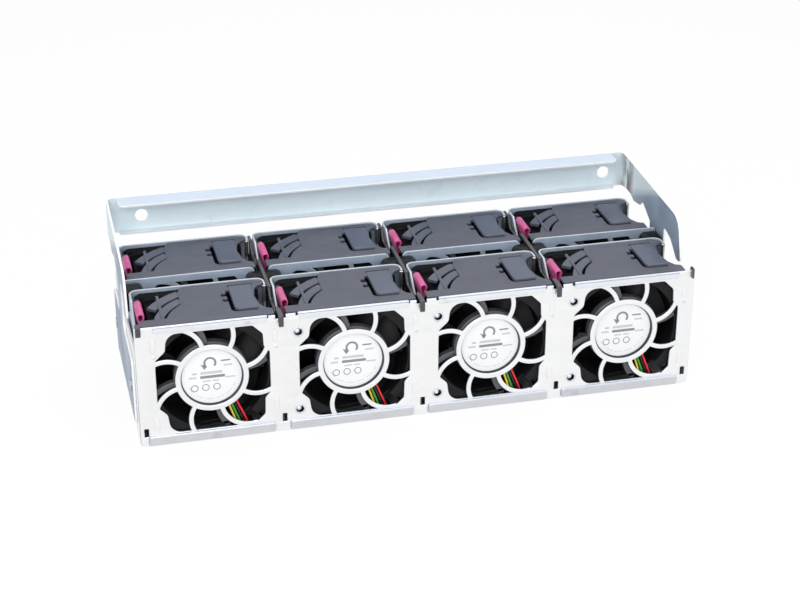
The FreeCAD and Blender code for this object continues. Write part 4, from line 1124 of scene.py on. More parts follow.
@dataclass
class Cage:
    """Folded sheet cage with its plastic dividers, spacers, sockets and clips.

    Attributes:
        datum: places taken from the frame.
        guard: the swirl guard that is pressed into the front panel.
        half_width: half the front panel's width.
        inset: how far the walls behind it stay inside its ends.
        height: top of the cage.
        gauge: thickness of its sheets.
        row_pitch: from row to row.
        wall_front: front face of a back wall, from its row's front.
        hem_height: height of the strips along the front panel's top.
        divider_gauge: thickness of a divider's plate.
        outlet: radius of the openings in the back walls.
        eye_bore: radius of the drawn rivet eyes.
    """

    datum: Datum
    guard: FingerGuard = field(default_factory=FingerGuard)
    half_width: float = 145.35
    inset: float = 1.2
    height: float = 66.8
    gauge: float = 1.0
    row_pitch: float = 56.0
    wall_front: float = 42.4
    hem_height: float = 3.8
    divider_gauge: float = 1.6
    outlet: float = 28.5
    eye_bore: float = 2.0

    @property
    def boundaries(self) -> list[float]:
        """Middles between neighbouring columns."""
        return [(a + b) / 2 for a, b in zip(self.datum.hubs, self.datum.hubs[1:])]

    @property
    def inner_half(self) -> float:
        """Half the width of the walls behind the front panel."""
        return self.half_width - self.inset

    def depth(self, y: float) -> float:
        """Row-frame depth of a place measured from the panel's front face."""
        return self.datum.panel_y + y

    def panel_outline(self, half: float, low: float, relief: bool) -> Array:
        """Outline of an upright wall with a cut for each divider.

        Args:
            half: half the wall's width.
            low: its lower edge.
            relief: make the cuts shallow, with a stepped relief on both sides, and round the feet.

        Returns:
            The outline.
        """
        top = self.height - 0.35
        foot = 3.5 if relief else 0.0
        corners: list[tuple[float, ...]] = [(-half, low, foot), (half, low, foot), (half, top, 0.6)]
        for middle in reversed(self.boundaries):
            centre = middle - self.divider_gauge / 2
            if relief:
                shelf, ledge, floor, slot = top - 0.5, top - 1.9, top - 2.5, 2.5
                step = [(8.3, top), (8.3, ledge, 0.6), (6.9, ledge, 0.6), (6.9, shelf)]
                corners += [(middle + x, *rest) for x, *rest in step]
                corners += [(centre + slot, shelf, 0.4), (centre + slot, floor, 0.4),
                            (centre - slot, floor, 0.4), (centre - slot, shelf, 0.4)]
                corners += [(middle - x, *rest) for x, *rest in reversed(step)]
            else:
                slot, floor = 3.4, top - 12.0
                corners += [(centre + slot, self.height, 3.0), (centre + slot, floor, 1.0),
                            (centre - slot, floor, 1.0), (centre - slot, self.height, 3.0)]
        corners.append((-half, top, 0.6))
        return rounded(corners, 5)

    def front_panel(self) -> None:
        """Front sheet with guards, rivet eyes, windows, hems and embossed pads."""
        piece = Part3D("guard_panel_front", "cage", "bright_sheet_steel", (Wall.FRONT.value,))
        loops = [self.panel_outline(self.half_width, 0.0, True)]
        hub_z = self.datum.hub_z
        for hub in self.datum.hubs:
            loops += self.guard.holes((hub, hub_z))
        eyes = [(hub - 28.1, hub_z + dz) for hub in self.datum.hubs[1:] for dz in (20.4, -23.5)]
        loops += [circle(self.eye_bore, place, 28) for place in eyes]
        windows = self.boundaries + [-self.half_width + 3.2, self.half_width - 3.2]
        loops += [box_outline(x - 1.1, x + 1.1, hub_z - 29.6, hub_z - 25.0, 0.3) for x in windows]
        flat = slab(loops, self.gauge, Turn.FACING, self.depth(self.gauge / 2), 0.4, 2)
        # the sheet's edges take edge_sheet: darker raw cut steel and painted shade
        piece.add(flat, "bright_sheet", edge="edge_sheet")
        self.rivet_eyes(piece, eyes)
        self.hems(piece)
        self.pads(piece)
        piece.build()

    def rivet_eyes(self, piece: Part3D, places: Sequence[tuple[float, float]]) -> None:
        """Drawn collar round each eye, with a rivet's dome in it.

        Args:
            piece: the front panel's piece.
            places: x and z of every eye.
        """
        bore = self.eye_bore
        collar = lathe(np.array([
            (bore, 0.3), (bore, -0.1), (2.2, -0.35), (2.75, -0.3), (2.95, 0.05), (2.95, 0.3),
        ]), 36)
        dome = lathe(np.array([
            (0.0, 0.5), (0.7, 0.62), (1.35, 1.0), (1.8, 1.7), (1.95, 2.4), (1.95, 2.7), (0.0, 2.7),
        ]), 36)
        for x, z in places:
            # the collar takes pad_edge: painted shade inside the eye
            piece.add(collar, "pad_edge", (x, self.depth(0), z))
            piece.add(dome, "hem_sheet", (x - 0.45, self.depth(-0.1), z + 0.25))

    def hems(self, piece: Part3D) -> None:
        """Folded strips along the panel's upper and lower edges, bay by bay, with a bluish strip of painted
        shadow just under the upper one's top edge.

        Args:
            piece: the front panel's piece.
        """
        top = self.height
        for hub in self.datum.hubs:
            left, right = hub - 28.2, hub + 28.4
            upper = rounded([(left, top - self.hem_height, 1.2), (right, top - self.hem_height, 1.2),
                             (right, top, 0.3), (left, top, 0.3)])
            strip = slab([upper], 0.9, Turn.FACING, self.depth(-0.45), 0.36, 2)
            # the strip's edges take pad_edge: painted shade, a dark line along the hem
            piece.add(strip, "hem_sheet", edge="pad_edge")
            lower = box_outline(hub - 33.4, hub + 31.4, 0.3, 5.9, 1.6)
            strip = slab([lower], 2.2, Turn.FACING, self.depth(0.05), 0.95, 3)
            piece.add(strip, "low_hem", edge="edge_sheet")
            # bluish strip just under the hem's top edge: painted shadow of the fold
            painted_fold_shadow = box_outline(left, right, top - 1.1, top - 0.5)
            piece.add(slab([painted_fold_shadow], 0.94, Turn.FACING, self.depth(-0.47), 0.05), "painted_fold_shadow")

    def pads(self, piece: Part3D) -> None:
        """Embossed oblongs beside the guards, and a pip under each of the upper ones.

        Args:
            piece: the front panel's piece.
        """
        hubs, hub_z, width = self.datum.hubs, self.datum.hub_z, 2.9
        upper = [(hub + 32.1, hub_z + 19.6, 6.4) for hub in hubs]
        lower = [(hub + 31.9, hub_z - 18.8, 7.4) for hub in hubs]
        first = [(hubs[0] - 28.5, hub_z + 21.0, 7.6), (hubs[0] - 28.6, hub_z - 23.3, 6.6)]
        for x, z, height in upper + lower + first:
            pad = slab([slot_outline((0, 0), width, height)], 0.6, Turn.FACING, 0.1, 0.22, 1)
            # the pad's flanks take pad_edge: painted shade round each pad
            piece.add(pad, "bright_sheet", (x, self.depth(0), z), "pad_edge")
        pip = lathe(np.array([(0, -0.25), (0.6, -0.2), (1.1, 0.05), (1.1, 0.3), (0, 0.3)]), 20)
        for x, z, height in upper + first[:1]:
            piece.add(pip, "pad_edge", (x + 0.3, self.depth(0), z - height / 2 - 2.6))

    def mid_panel(self) -> None:
        """Second row's guard wall, whose guards reach a little higher."""
        piece = Part3D("guard_panel_mid", "cage", "bright_sheet_steel", (Wall.MID.value,))
        loops = [self.panel_outline(self.inner_half, self.gauge, False)]
        raised = tuple((x, z + (1.2 if z > 26 else 0.0), r) for x, z, r in self.guard.corners)
        guard = FingerGuard(corners=raised)
        for hub in self.datum.hubs:
            loops += guard.holes((hub, self.datum.hub_z))
        flat = slab(loops, self.gauge, Turn.FACING, self.depth(self.row_pitch + self.gauge / 2), 0.14)
        piece.add(flat, "wall_sheet", edge="wall_edge")
        piece.build()

    def back_wall(self, wall: Wall) -> None:
        """Back wall of one row: a folded sheet per bay, joined by straps, with the fans' outlets.

        Args:
            wall: the inner or the outer back wall.
        """
        row = 0 if wall is Wall.INNER else 1
        piece = Part3D(f"back_wall_{wall.name.lower()}", "cage", "bright_sheet_steel", (wall.value,))
        half, foot, top = self.gauge / 2, self.gauge, self.height
        back = self.wall_front + self.gauge
        left, right = -35.35 + half, 33.75 - half
        path, creases = bent_path([(left, back - 29.0, 0), (left, back - half, 4.0),
                                   (right, back - half, 4.0), (right, back - 8.0, 0)])
        total = path[-1, 0]
        pattern = rounded([(0, foot, 0), (total, foot, 0), (total, top, 0.5), (17.0, top, 2.0),
                           (6.0, top - 10.0, 4.0), (0, top - 14.0, 0)], 6)
        bore = circle(self.outlet, (self.run_at(path, 0.0), self.datum.hub_z), 96)
        bay = folded(sheet([pattern, bore], self.gauge, 0.14), path, creases)
        curl = lathe(np.array([(0.5, 0.0), (1.0, 0.15), (1.0, 8.8), (0.5, 9.0)]), 20)
        curl = moved(curl, lambda points: points[:, (0, 2, 1)])
        front = self.depth(row * self.row_pitch)
        for hub in self.datum.hubs:
            piece.add(bay, "wall_sheet", (hub, front, 0), "wall_edge")
            piece.add(curl, "clip", (hub + right - 0.3, front + back - 8.6, top - 9.4))
        end = self.inner_half
        straps = [(middle - 7.0, middle + 5.0) for middle in self.boundaries]
        straps += [(-end, -end + 7.5), (end - 8.0, end)]
        middle_depth = self.depth(row * self.row_pitch + back - half)
        for low, high in straps:
            strap = box_outline(low, high, foot, 55.0, 0.5)
            piece.add(slab([strap], self.gauge - 0.06, Turn.FACING, middle_depth, 0.1), "wall_sheet")
        piece.build()

    @staticmethod
    def run_at(path: Array, x: float) -> float:
        """Run length where a left-to-right path passes an x."""
        order = np.argsort(path[:, 1], kind="stable")
        return float(np.interp(x, path[order, 1], path[order, 0]))

    def dividers(self) -> None:
        """Plastic dividers: a scooped plate per row, a hook in front, a bridge over the trough and knobs."""
        piece = Part3D("divider_set", "cage", "grey_plastic", ("bay_dividers",))
        top = self.height - 0.3
        rim, low = top - 0.2, top - 5.6
        front = self.depth(-2.2)
        knob = lathe(np.array([(0, 0.9), (1.3, 0.75), (2.0, 0.3), (2.2, -0.4), (0, -0.5)]) * (0.45, 0.4), 20)
        knob = moved(knob, lambda points: points[:, (0, 2, 1)] * (1.0, 2.0, 1.0))
        for middle in self.boundaries:
            centre = middle - self.divider_gauge / 2
            for near, far, fall, rise in ((1.3, 42.1, 9.0, 33.0), (57.3, 98.1, 66.0, 89.0)):
                plate = rounded([(self.depth(y), z, *radius) for y, z, *radius in (
                    (near, 1.3), (far, 1.3), (far, rim, 0.8), (rise, rim, 2.0), (rise - 3.5, low, 4.0),
                    (fall + 3.5, low, 4.0), (fall, rim, 2.0), (near, rim, 0.5))], 7)
                piece.add(slab([plate], self.divider_gauge, Turn.SIDEWAYS, centre, 0.45, 2), "gloss",
                          edge="divider")
            hook = rounded([
                (front, top - 6.4, 0.5), (front + 1.1, top - 6.4, 0.5), (front + 1.1, top - 2.2, 0.4),
                (self.depth(9.0), top - 2.4, 0.8), (self.depth(7.0), top, 1.5), (front, top, 1.2)], 6)
            piece.add(slab([hook], 2.6, Turn.SIDEWAYS, centre, 0.4, 2), "divider")
            bridge = rounded([(self.depth(33.0), top - 2.0, 0.6), (self.depth(68.0), top - 2.0, 0.6),
                              (self.depth(66.0), top, 1.2), (self.depth(34.5), top, 1.2)], 6)
            piece.add(slab([bridge], 1.9, Turn.SIDEWAYS, centre, 0.4, 2), "divider")
            for spot in (33.6, 90.6):
                piece.add(knob, "divider", (centre, self.depth(spot), top))
        piece.build()

    def spacers(self) -> None:
        """Glossy oval blocks between the rows, halved at the cage's ends."""
        piece = Part3D("spacer_set", "cage", "black_gloss_plastic", ("row_spacers",))
        front, back, high, low, half = 43.7, 55.7, 65.2, 47.3, 9.5
        limit = self.inner_half
        for middle in [-limit] + self.boundaries + [limit]:
            left, right = max(middle - half, -limit), min(middle + half, limit)
            near = 0.3 if left == -limit else 3.6
            far = 0.3 if right == limit else 3.6
            loop = rounded([(left, low, near), (right, low, far), (right, high, far), (left, high, near)], 12)
            block = slab([loop], back - front, Turn.FACING, self.depth((front + back) / 2), 1.3, 4)
            piece.add(block, "spacer")
        piece.build()

    def clips(self) -> None:
        """Small hooks over both ends of the front panel."""
        piece = Part3D("clip_pair", "cage", "clip_steel", ("end_clips",))
        profile = rounded([(-1.4, 67.9, 0.7), (-1.4, 62.2, 0.4), (-0.3, 62.2, 0.4), (-0.3, 67.0, 0.2),
                           (1.3, 67.0, 0.2), (1.3, 61.0, 0.4), (2.4, 61.0, 0.4), (2.4, 67.9, 0.7)])
        profile[:, 0] += self.datum.panel_y
        centre = self.half_width - 1.0 - 1.1
        for at, width, finish in ((-centre, 2.6, "divider"), (centre + 0.75, 1.1, "dark_clip")):
            piece.add(slab([profile], width, Turn.SIDEWAYS, at, 0.2), finish)
        piece.build()

    def dress_nodes(self) -> None:
        """Give the carried-over nodes their finishes."""
        dress = {"floor_tray": "bright_sheet", "power_sockets": "frame", "cage_rivets": "clip"}
        for node, finish in dress.items():
            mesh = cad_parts[node].data
            mesh.materials.clear()
            mesh.materials.append(Finishes.get(finish))

    def build(self) -> None:
        """Make every piece of the cage."""
        self.front_panel()
        self.mid_panel()
        self.back_wall(Wall.INNER)
        self.back_wall(Wall.OUTER)
        self.dividers()
        self.spacers()
        self.clips()
        self.dress_nodes()


@dataclass
class Carrier:
    """Carrier bracket: web and side plates folded from one sheet, with flanges along the web.

    Attributes:
        datum: places taken from the frame.
        outer: outer face of a side plate.
        gauge: thickness of the sheet.
        bend: radius of the corners' folds.
        plate_front: foremost reach of the side plates' sheet.
        web_back: back face of the web.
        top: upper edge of the web.
        base: lower edge of the web.
        hole: radius of the web's holes.
        hole_z: their height.
        holes_x: where they are across the web.
    """

    datum: Datum
    outer: float = 146.65
    gauge: float = 1.2
    bend: float = 3.4
    plate_front: float = 5.0
    web_back: float = 116.2
    top: float = 88.0
    base: float = 67.5
    hole: float = 3.5
    hole_z: float = 76.5
    holes_x: tuple[float, float] = (-127.95, 134.25)

    def side_corners(self) -> list[Triple]:
        """Side plate's outline from the web's top round the nose and the leg to the web's base.

        Returns:
            Depth, height and corner radius of each corner.
        """
        return [
            (27.6, 83.9, 10.0), (21.0, 60.6, 2.2), (27.0, 60.6, 2.2), (36.5, 68.2, 9.0), (46.4, 70.8, 1.5),
            (46.4, 44.0, 5.0), (10.0, 44.0, 3.0), (10.0, 8.0, 3.0), (97.4, 8.0, 3.0), (97.4, 44.0, 3.0),
            (65.5, 44.0, 5.0), (67.5, 65.5, 1.0), (79.5, 71.6, 1.2), (84.0, 68.0, 0.6), (93.5, 66.5, 0.6),
            (98.5, 68.5, 0.6), (105.0, 69.0, 0.0),
        ]

    def shell(self) -> Mesh:
        """Flat pattern of web and sides, folded at both corners.

        Returns:
            The folded sheet.
        """
        half = self.gauge / 2
        outer, back, front = self.outer - half, self.web_back - half, self.plate_front
        path, creases = bent_path([(-outer, front, 0), (-outer, back, self.bend), (outer, back, self.bend),
                                   (outer, front, 0)], 9)
        middle = path[-1, 0] / 2
        run = path[:, 0] - middle
        path = np.column_stack([run, path[:, 1:]])
        reach = path[-1, 0]
        right = [(reach - (y - front), z, r) for y, z, r in self.side_corners()]
        left = [(-s, z, r) for s, z, r in reversed(right)]
        web = outer - self.bend
        loop = rounded([(web, self.top, 0)] + right + [(web, self.base, 0), (-web, self.base, 0)] + left
                       + [(-web, self.top, 0)], 9)
        holes = [circle(self.hole, (x, self.hole_z), 40) for x in self.holes_x]
        return folded(sheet([loop] + holes, self.gauge, 0.18), path, creases - middle)

    def flange(self, left: float, right: float, level: float, depth: float, corner: float,
               rise: float) -> Mesh:
        """Strip bent forward off the web.

        Args:
            left: strip's left end.
            right: strip's right end.
            level: height of the strip's middle plane.
            depth: how far it stands out in front of the web.
            corner: radius of its free corners.
            rise: +1 if the web runs on above it, -1 if below.

        Returns:
            The folded strip.
        """
        web = self.web_back - self.gauge / 2
        path, creases = bent_path([(web - depth, level, 0), (web, level, 1.5),
                                   (web, level + rise * 3.0, 0)], 7)
        total = path[-1, 0]
        loop = rounded([(0, left, corner), (total, left, 0), (total, right, 0), (0, right, corner)], 8)
        strip = folded(sheet([loop], self.gauge, 0.18), path, creases)
        return moved(strip, lambda points: points[:, (2, 0, 1)])

    def build(self) -> None:
        """Make the bracket."""
        piece = Part3D("carrier_rail", "cage", "galvanised_steel", ("carrier_bracket",))
        offset = (0, self.datum.panel_y, 0)
        # the rail's edges take rail_edge: painted highlight
        piece.add(self.shell(), "rail_sheet", offset, "rail_edge")
        half = self.gauge / 2
        # the upper flange takes lip_sheet, painted shade on its upward face; the lower one keeps the rail's
        # own sheet
        upper = self.flange(-141.0, 138.2, self.top - half, 13.6, 4.0, -1.0)
        lower = self.flange(-140.5, 139.9, self.base + half, 4.6, 1.0, 1.0)
        piece.add(upper, "lip_sheet", offset, "rail_edge")
        piece.add(lower, "rail_sheet", offset, "rail_edge")
        piece.build()


# ---- fan module ---------------------------------------------------------------------------------


@dataclass
class FanModule:
    """One hot-plug fan, drawn about its own axis with y from the front of its top cover.

    Attributes:
        datum: places taken from the frame.
        blades: how many the impeller has.
        half: half the square frame's side.
        corner: radius of the frame's corners.
        flange_depth: depth of its front and back flanges.
        bolt: the frame's bolt holes, from the axis.
        duct: radius of the air duct.
        front: front face of the frame.
        back: its back face.
        cover_low: underside of the top cover.
        cover_high: its upper side.
        grille_centre: centre of the cover's curved slats.
        pivot: x and z of the latch's pin.
    """

    datum: Datum
    blades: int = 7
    half: float = 30.0
    corner: float = 3.0
    flange_depth: float = 4.0
    bolt: float = 25.0
    duct: float = 28.5
    front: float = 0.4
    back: float = 38.4
    cover_low: float = 30.1
    cover_high: float = 31.5
    grille_centre: tuple[float, float] = (7.5, -1.3)
    pivot: tuple[float, float] = (-32.2, -2.0)

    def flange(self, channel: bool) -> Mesh:
        """Square flange with the duct's bore; the front one is open where the leads leave.

        Args:
            channel: leave it open for the leads.

        Returns:
            The flange, lying flat.
        """
        half, corner, duct = self.half, self.corner, self.duct
        bolts = [circle(2.1, (x, z), 20) for x in (-self.bolt, self.bolt) for z in (-self.bolt, self.bolt)]
        if not channel:
            loops = [box_outline(-half, half, -half, half, corner), circle(duct, count=96)] + bolts
            return sheet(loops, self.flange_depth, 0.3, 1)
        left, right = 10.9, 19.0
        start, end = (math.atan2(-math.sqrt(duct**2 - x**2), x) for x in (left, right))
        turn = np.linspace(start, end - 2 * math.pi, 96)
        bore = duct * np.stack([np.cos(turn), np.sin(turn)], 1)
        outer = rounded([(right, -half), (half, -half, corner), (half, half, corner),
                         (-half, half, corner), (-half, -half, corner), (left, -half)])
        first = int(np.argmin(np.hypot(outer[:, 0] - right, outer[:, 1] + half)))
        opened = distinct(np.concatenate([np.roll(outer, -first, 0), bore]))
        return sheet([opened] + bolts[2:3] + bolts[:2] + bolts[3:], self.flange_depth, 0.3, 1)

    def housing(self, number: int) -> None:
        """Frame: flanges, duct, motor base, struts and the latch's lugs.

        Args:
            number: the module's number, from 1.
        """
        piece = self.piece("housing", number, "black_plastic")
        fore = stood(self.flange(True), Turn.FACING, self.front + self.flange_depth / 2)
        aft = stood(self.flange(False), Turn.FACING, self.back - self.flange_depth / 2)
        skin = np.array([(28.52, 4.0), (28.52, 34.8), (29.6, 34.8), (29.6, 4.0)])
        base = np.array([(0, 0.4), (18.2, 0.4), (18.9, 1.1), (18.9, 5.0), (18.5, 5.4), (0, 5.4)])
        piece.add(fore, "frame")
        piece.add(aft, "frame")
        piece.add(lathe(skin, 96), "frame")
        piece.add(lathe(base, 72), "strut")
        for strut in range(4):
            piece.add(self.strut(math.radians(8.0) + strut * math.pi / 2), "strut")
        for near in (12.85, 25.65):
            lug = [box_outline(-33.9, -28.9, -3.7, -0.3, 0.8), circle(0.87, self.pivot, 20)]
            piece.add(slab(lug, 2.2, Turn.FACING, near + 1.1, 0.2), "frame")
        piece.build()

    def strut(self, start: float) -> Mesh:
        """Arm from the motor's base to the duct, bending round on an arc.

        Its points are the foot plus the bend times the sine, and the bend less the bend times the cosine.

        Args:
            start: its angle about the fan's axis, in radians.

        Returns:
            The arm.
        """
        foot, bend = 18.0, 22.0
        turn = np.linspace(-0.05, 0.54, 14)
        x, y = foot + bend * np.sin(turn), bend - bend * np.cos(turn)
        path = np.stack([x * math.cos(start) - y * math.sin(start),
                         np.full_like(x, self.front + self.flange_depth / 2),
                         x * math.sin(start) + y * math.cos(start)], 1)
        return sweep(path, box_outline(-1.5, 1.5, -2.0, 1.9, 0.5), (0, 1, 0))

    def impeller(self, number: int) -> None:
        """Rotor: cup with a rounded crown and twisted blades with a swept chord.

        A blade's turn is the twist times the share of its depth to the power 0.85, with a little more
        towards its tip. Its half thickness follows the root of a sine of that share and falls with the
        radius.

        Args:
            number: the module's number, from 1.
        """
        piece = Part3D(f"module_{number}_rotor", f"rotor_{number}", "fan_plastic",
                       (f"module_{number}_impeller",))
        cup = np.array([
            (0, 5.8), (15.9, 5.8), (16.8, 6.6), (16.8, 33.0), (16.4, 33.6), (15.6, 33.8), (0, 33.8),
        ])
        place = self.place(number)
        piece.add(lathe(cup, 72), "blade", place)
        root, tip, twist = 16.2, 27.6, np.radians(72)
        radius = np.linspace(root, tip, 8)[:, None]
        share = np.linspace(0, 1, 14)[None, :]
        thick = 0.75 * np.sin(np.pi * np.clip(share * 0.92 + 0.06, 0, 1)) ** 0.5 * (1.25 - (radius - 16) / 30)
        depth = 7.8 + 23.0 * share + np.zeros_like(radius)
        for blade in range(self.blades):
            base = blade * 2 * np.pi / self.blades
            turn = base + twist * share ** 0.85 + np.radians(0.9) * (radius - root) * (share - 0.4)
            faces = [np.stack([radius * np.cos(turn) - side * thick * np.sin(turn), depth,
                               radius * np.sin(turn) + side * thick * np.cos(turn)], -1) for side in (1, -1)]
            loop = np.concatenate([faces[0], faces[1][:, ::-1]], axis=1)
            piece.add(grid(loop, close_v=True, caps=True), "blade", place)
        piece.build()

    def cover(self, number: int) -> None:
        """Top cover: plateau with its grip groove and finger notch, sunk corner, slats, rib and paddle.

        Args:
            number: the module's number, from 1.
        """
        piece = self.piece("cover", number, "black_plastic")
        cx, cy = self.grille_centre
        inner = 28.6
        span = np.linspace(math.asin((6.9 - cy) / inner), math.acos((cx + 11.3) / inner), 14)
        edge = np.stack([cx - inner * np.cos(span), cy + inner * np.sin(span)], 1)
        outline = np.concatenate([
            rounded([(-33.6, 6.9), (-33.6, 0, 0.6), (32.6, 0, 0.6), (32.6, 6.2, 1.0), (29.6, 7.6, 1.2),
                     (27.4, 12.0, 2.0), (26.1, 21.8, 4.0), (27.4, 30.4, 2.0), (29.6, 33.6, 1.2),
                     (32.6, 35.0, 0.8), (32.6, 37.2, 0.5), (28.6, 40.2, 0.5), (-8.6, 40.2, 1.0)], 5),
            np.array([(-11.3, 35.0)]), edge[::-1],
        ])
        groove = rounded([
            (12.5, 6.5, 3.4), (25.9, 6.5, 0.4), (25.6, 8.3), (14.4, 8.4, 2.4), (14.4, 31.2), (12.5, 31.2),
            (12.5, 28.0), (9.9, 28.0), (9.9, 24.6), (12.5, 24.6), (12.5, 21.6), (9.9, 21.6), (9.9, 18.6),
            (12.5, 18.6)], 5)
        above = box_outline(14.4, 27.0, 35.3, 37.0, 0.4)
        middle, thickness = (self.cover_low + self.cover_high) / 2, self.cover_high - self.cover_low
        piece.add(slab([distinct(outline), groove, above], thickness, Turn.LEVEL, middle, 0.3, 1), "cover")
        # the sunk corner's floor and ledge take the near-black floor finish: painted shade in the recess
        floor = box_outline(-28.6, -9.0, 4.8, 33.8, 0.5)
        piece.add(slab([floor], 0.6, Turn.LEVEL, 27.5, 0.1), "floor")
        ledge = rounded([(-32.8, 34.6, 0.4), (-9.0, 34.6, 0.4), (-9.0, 40.0, 0.4), (-30.0, 40.0, 3.0),
                         (-32.8, 37.0, 1.0)])
        piece.add(slab([ledge], 0.6, Turn.LEVEL, self.cover_low - 0.1), "floor")
        piece.add(self.paddle(), "paddle")
        for radius, width, drop in ((39.2, 5.0, 0.2), (32.5, 4.6, 0.35)):
            piece.add(self.slat(radius, width, drop), "slat")
        piece.add(self.rib(), "slat")
        piece.build()

    def slat(self, radius: float, width: float, drop: float) -> Mesh:
        """Curved louvre band about the grille's centre, leaning down on its left.

        Args:
            radius: of the band's middle.
            width: across the band.
            drop: how far it lies under the cover's top.

        Returns:
            The band.
        """
        cx, cy = self.grille_centre
        low = max(math.asin((6.6 - cy) / radius), math.acos(min(1.0, (28.3 + cx) / (radius + width / 2))))
        high = math.acos((cx + 11.0) / radius)
        turn = np.linspace(low, high, 24)
        path = np.stack([cx - radius * np.cos(turn), cy + radius * np.sin(turn),
                         np.full_like(turn, self.cover_high - drop - 0.7)], 1)
        section = box_outline(-width / 2, width / 2, -0.7, 0.7, 0.35)
        section[:, 1] -= section[:, 0] * 0.12
        return sweep(path, section, (0, 0, 1))

    def rib(self) -> Mesh:
        """Straight bar that ties the bands together from front to back.

        Returns:
            The bar.
        """
        rows = 8
        path = np.stack([np.full(rows, -21.8), np.linspace(6.8, 32.6, rows),
                         np.full(rows, self.cover_high - 0.35)], 1)
        return sweep(path, box_outline(-0.75, 0.75, -1.0, 0.45, 0.3), (0, 0, 1))

    def paddle(self) -> Mesh:
        """Raised grip paddle with a hollowed right side.

        Returns:
            The paddle.
        """
        loop = rounded([(14.5, 8.5, 2.8), (26.8, 8.5, 1.2), (26.0, 13.0, 3.0), (25.5, 22.0, 6.0),
                        (26.0, 31.0, 3.0), (26.8, 35.1, 1.0), (14.5, 35.1, 1.2)], 6)
        return slab([loop], 1.9, Turn.LEVEL, self.cover_high - 0.45, 0.5, 3)

    def latch(self, number: int) -> None:
        """Release latch: drop-shaped loop on a flat leg with its pivot.

        Args:
            number: the module's number, from 1.
        """
        piece = Part3D(f"module_{number}_release", f"latch_{number}", "magenta_plastic",
                       (f"module_{number}_latch",))
        place = np.array(self.place(number))
        pin_x, pin_z = self.pivot
        half, wall, drop, middle = 2.0, 0.85, 7.2, 20.35
        outer, eye = self.drop_outline(half, drop), self.drop_outline(half - wall, drop - 2.4 * wall)
        loop = slab([outer, eye], 15.5, Turn.FACING, middle, 0.3, 2)
        piece.add(loop, "latch", place + (pin_x, 0, 32.3 - half))
        leg = rounded([(-32.7, -2.0), (-31.7, -2.0), (-31.7, 24.2), (-32.7, 24.2), (-32.7, 12.0),
                       (-33.9, 12.0), (-32.7, 8.5)], 3)
        piece.add(slab([leg], 10.0, Turn.FACING, middle), "latch", place)
        for radius, reach, start in ((1.4, 10.0, 15.35), (0.8, 14.12, 13.29)):
            rod = np.array([(0, 0), (radius - 0.15, 0), (radius, 0.15), (radius, reach - 0.15),
                            (radius - 0.15, reach), (0, reach)])
            piece.add(lathe(rod, 24), "latch", place + (pin_x, start, pin_z))
        piece.build()

    @staticmethod
    def drop_outline(radius: float, drop: float) -> Array:
        """Drop: the upper arc of a circle, and its two tangents down to a blunt tip under its centre.

        Args:
            radius: of the circle.
            drop: from its centre to the tip.

        Returns:
            The outline.
        """
        lean = math.asin(radius / drop)
        turn = np.linspace(-lean, math.pi + lean, 20)
        arc = radius * np.stack([np.cos(turn), np.sin(turn)], 1)
        tip = np.array([(-0.12 * radius, -drop * 0.97), (0.12 * radius, -drop * 0.97)])
        return np.concatenate([arc, tip])

    def leads(self, number: int) -> None:
        """Four insulated leads from the motor's base to the plug.

        A lead's points are its start, knee and end times (1 - t) squared, 2 t (1 - t) and t squared.

        Args:
            number: the module's number, from 1.
        """
        piece = self.piece("leads", number, "lead_insulation")
        share = np.linspace(0, 1, 16)[:, None]
        section = circle(0.55, count=12)
        order = (("yellow_lead", 0.0), ("green_lead", 0.15), ("black_lead", 1.05), ("red_lead", 0.45))
        depth, reach = 1.9, 18.1
        for lead, (finish, shift) in enumerate(order):
            angle = math.radians(-65 + 4.5 * lead)
            foot = 12.2 + 1.8 * lead
            start = np.array([reach * math.cos(angle), depth, reach * math.sin(angle)])
            knee = np.array([foot - 1.6 + shift * 0.3, depth, -25.4])
            end = np.array([foot, depth, -30.0])
            path = (1 - share) ** 2 * start + 2 * share * (1 - share) * knee + share**2 * end
            piece.add(sweep(path, section, (0, 1, 0)), finish)
        piece.build(60.0)

    def plug(self, number: int) -> None:
        """Blind-mate plug block with a keyed corner and contact slots.

        Args:
            number: the module's number, from 1.
        """
        piece = self.piece("plug", number, "black_plastic")
        loop = rounded([(10.6, 2.2, 0.2), (11.6, 1.2, 0.2), (19.2, 1.2, 0.3), (19.2, 9.2, 0.3),
                        (10.6, 9.2, 0.3)], 3)
        slots = [box_outline(12.0 + 1.8 * k, 12.9 + 1.8 * k, 3.6, 7.4, 0.1) for k in range(4)]
        piece.add(slab([loop] + slots, 2.9, Turn.LEVEL, -31.45), "frame")
        piece.build()

    def label(self, number: int) -> None:
        """Round motor label with a turning arrow, rings and bars in place of words.

        Args:
            number: the module's number, from 1.
        """
        piece = Part3D(f"module_{number}_label", f"module_{number}", "black_plastic")
        place = self.place(number)
        disc = slab([circle(15.1, count=96)], 0.12, Turn.FACING, self.front - 0.05, 0.03)
        piece.add(disc, "label", place)

        def printed(finish: str, *loops: Array) -> None:
            """Lay a thin print over the disc."""
            piece.add(slab(loops, 0.1, Turn.FACING, self.front - 0.1, 0.02), finish, place)

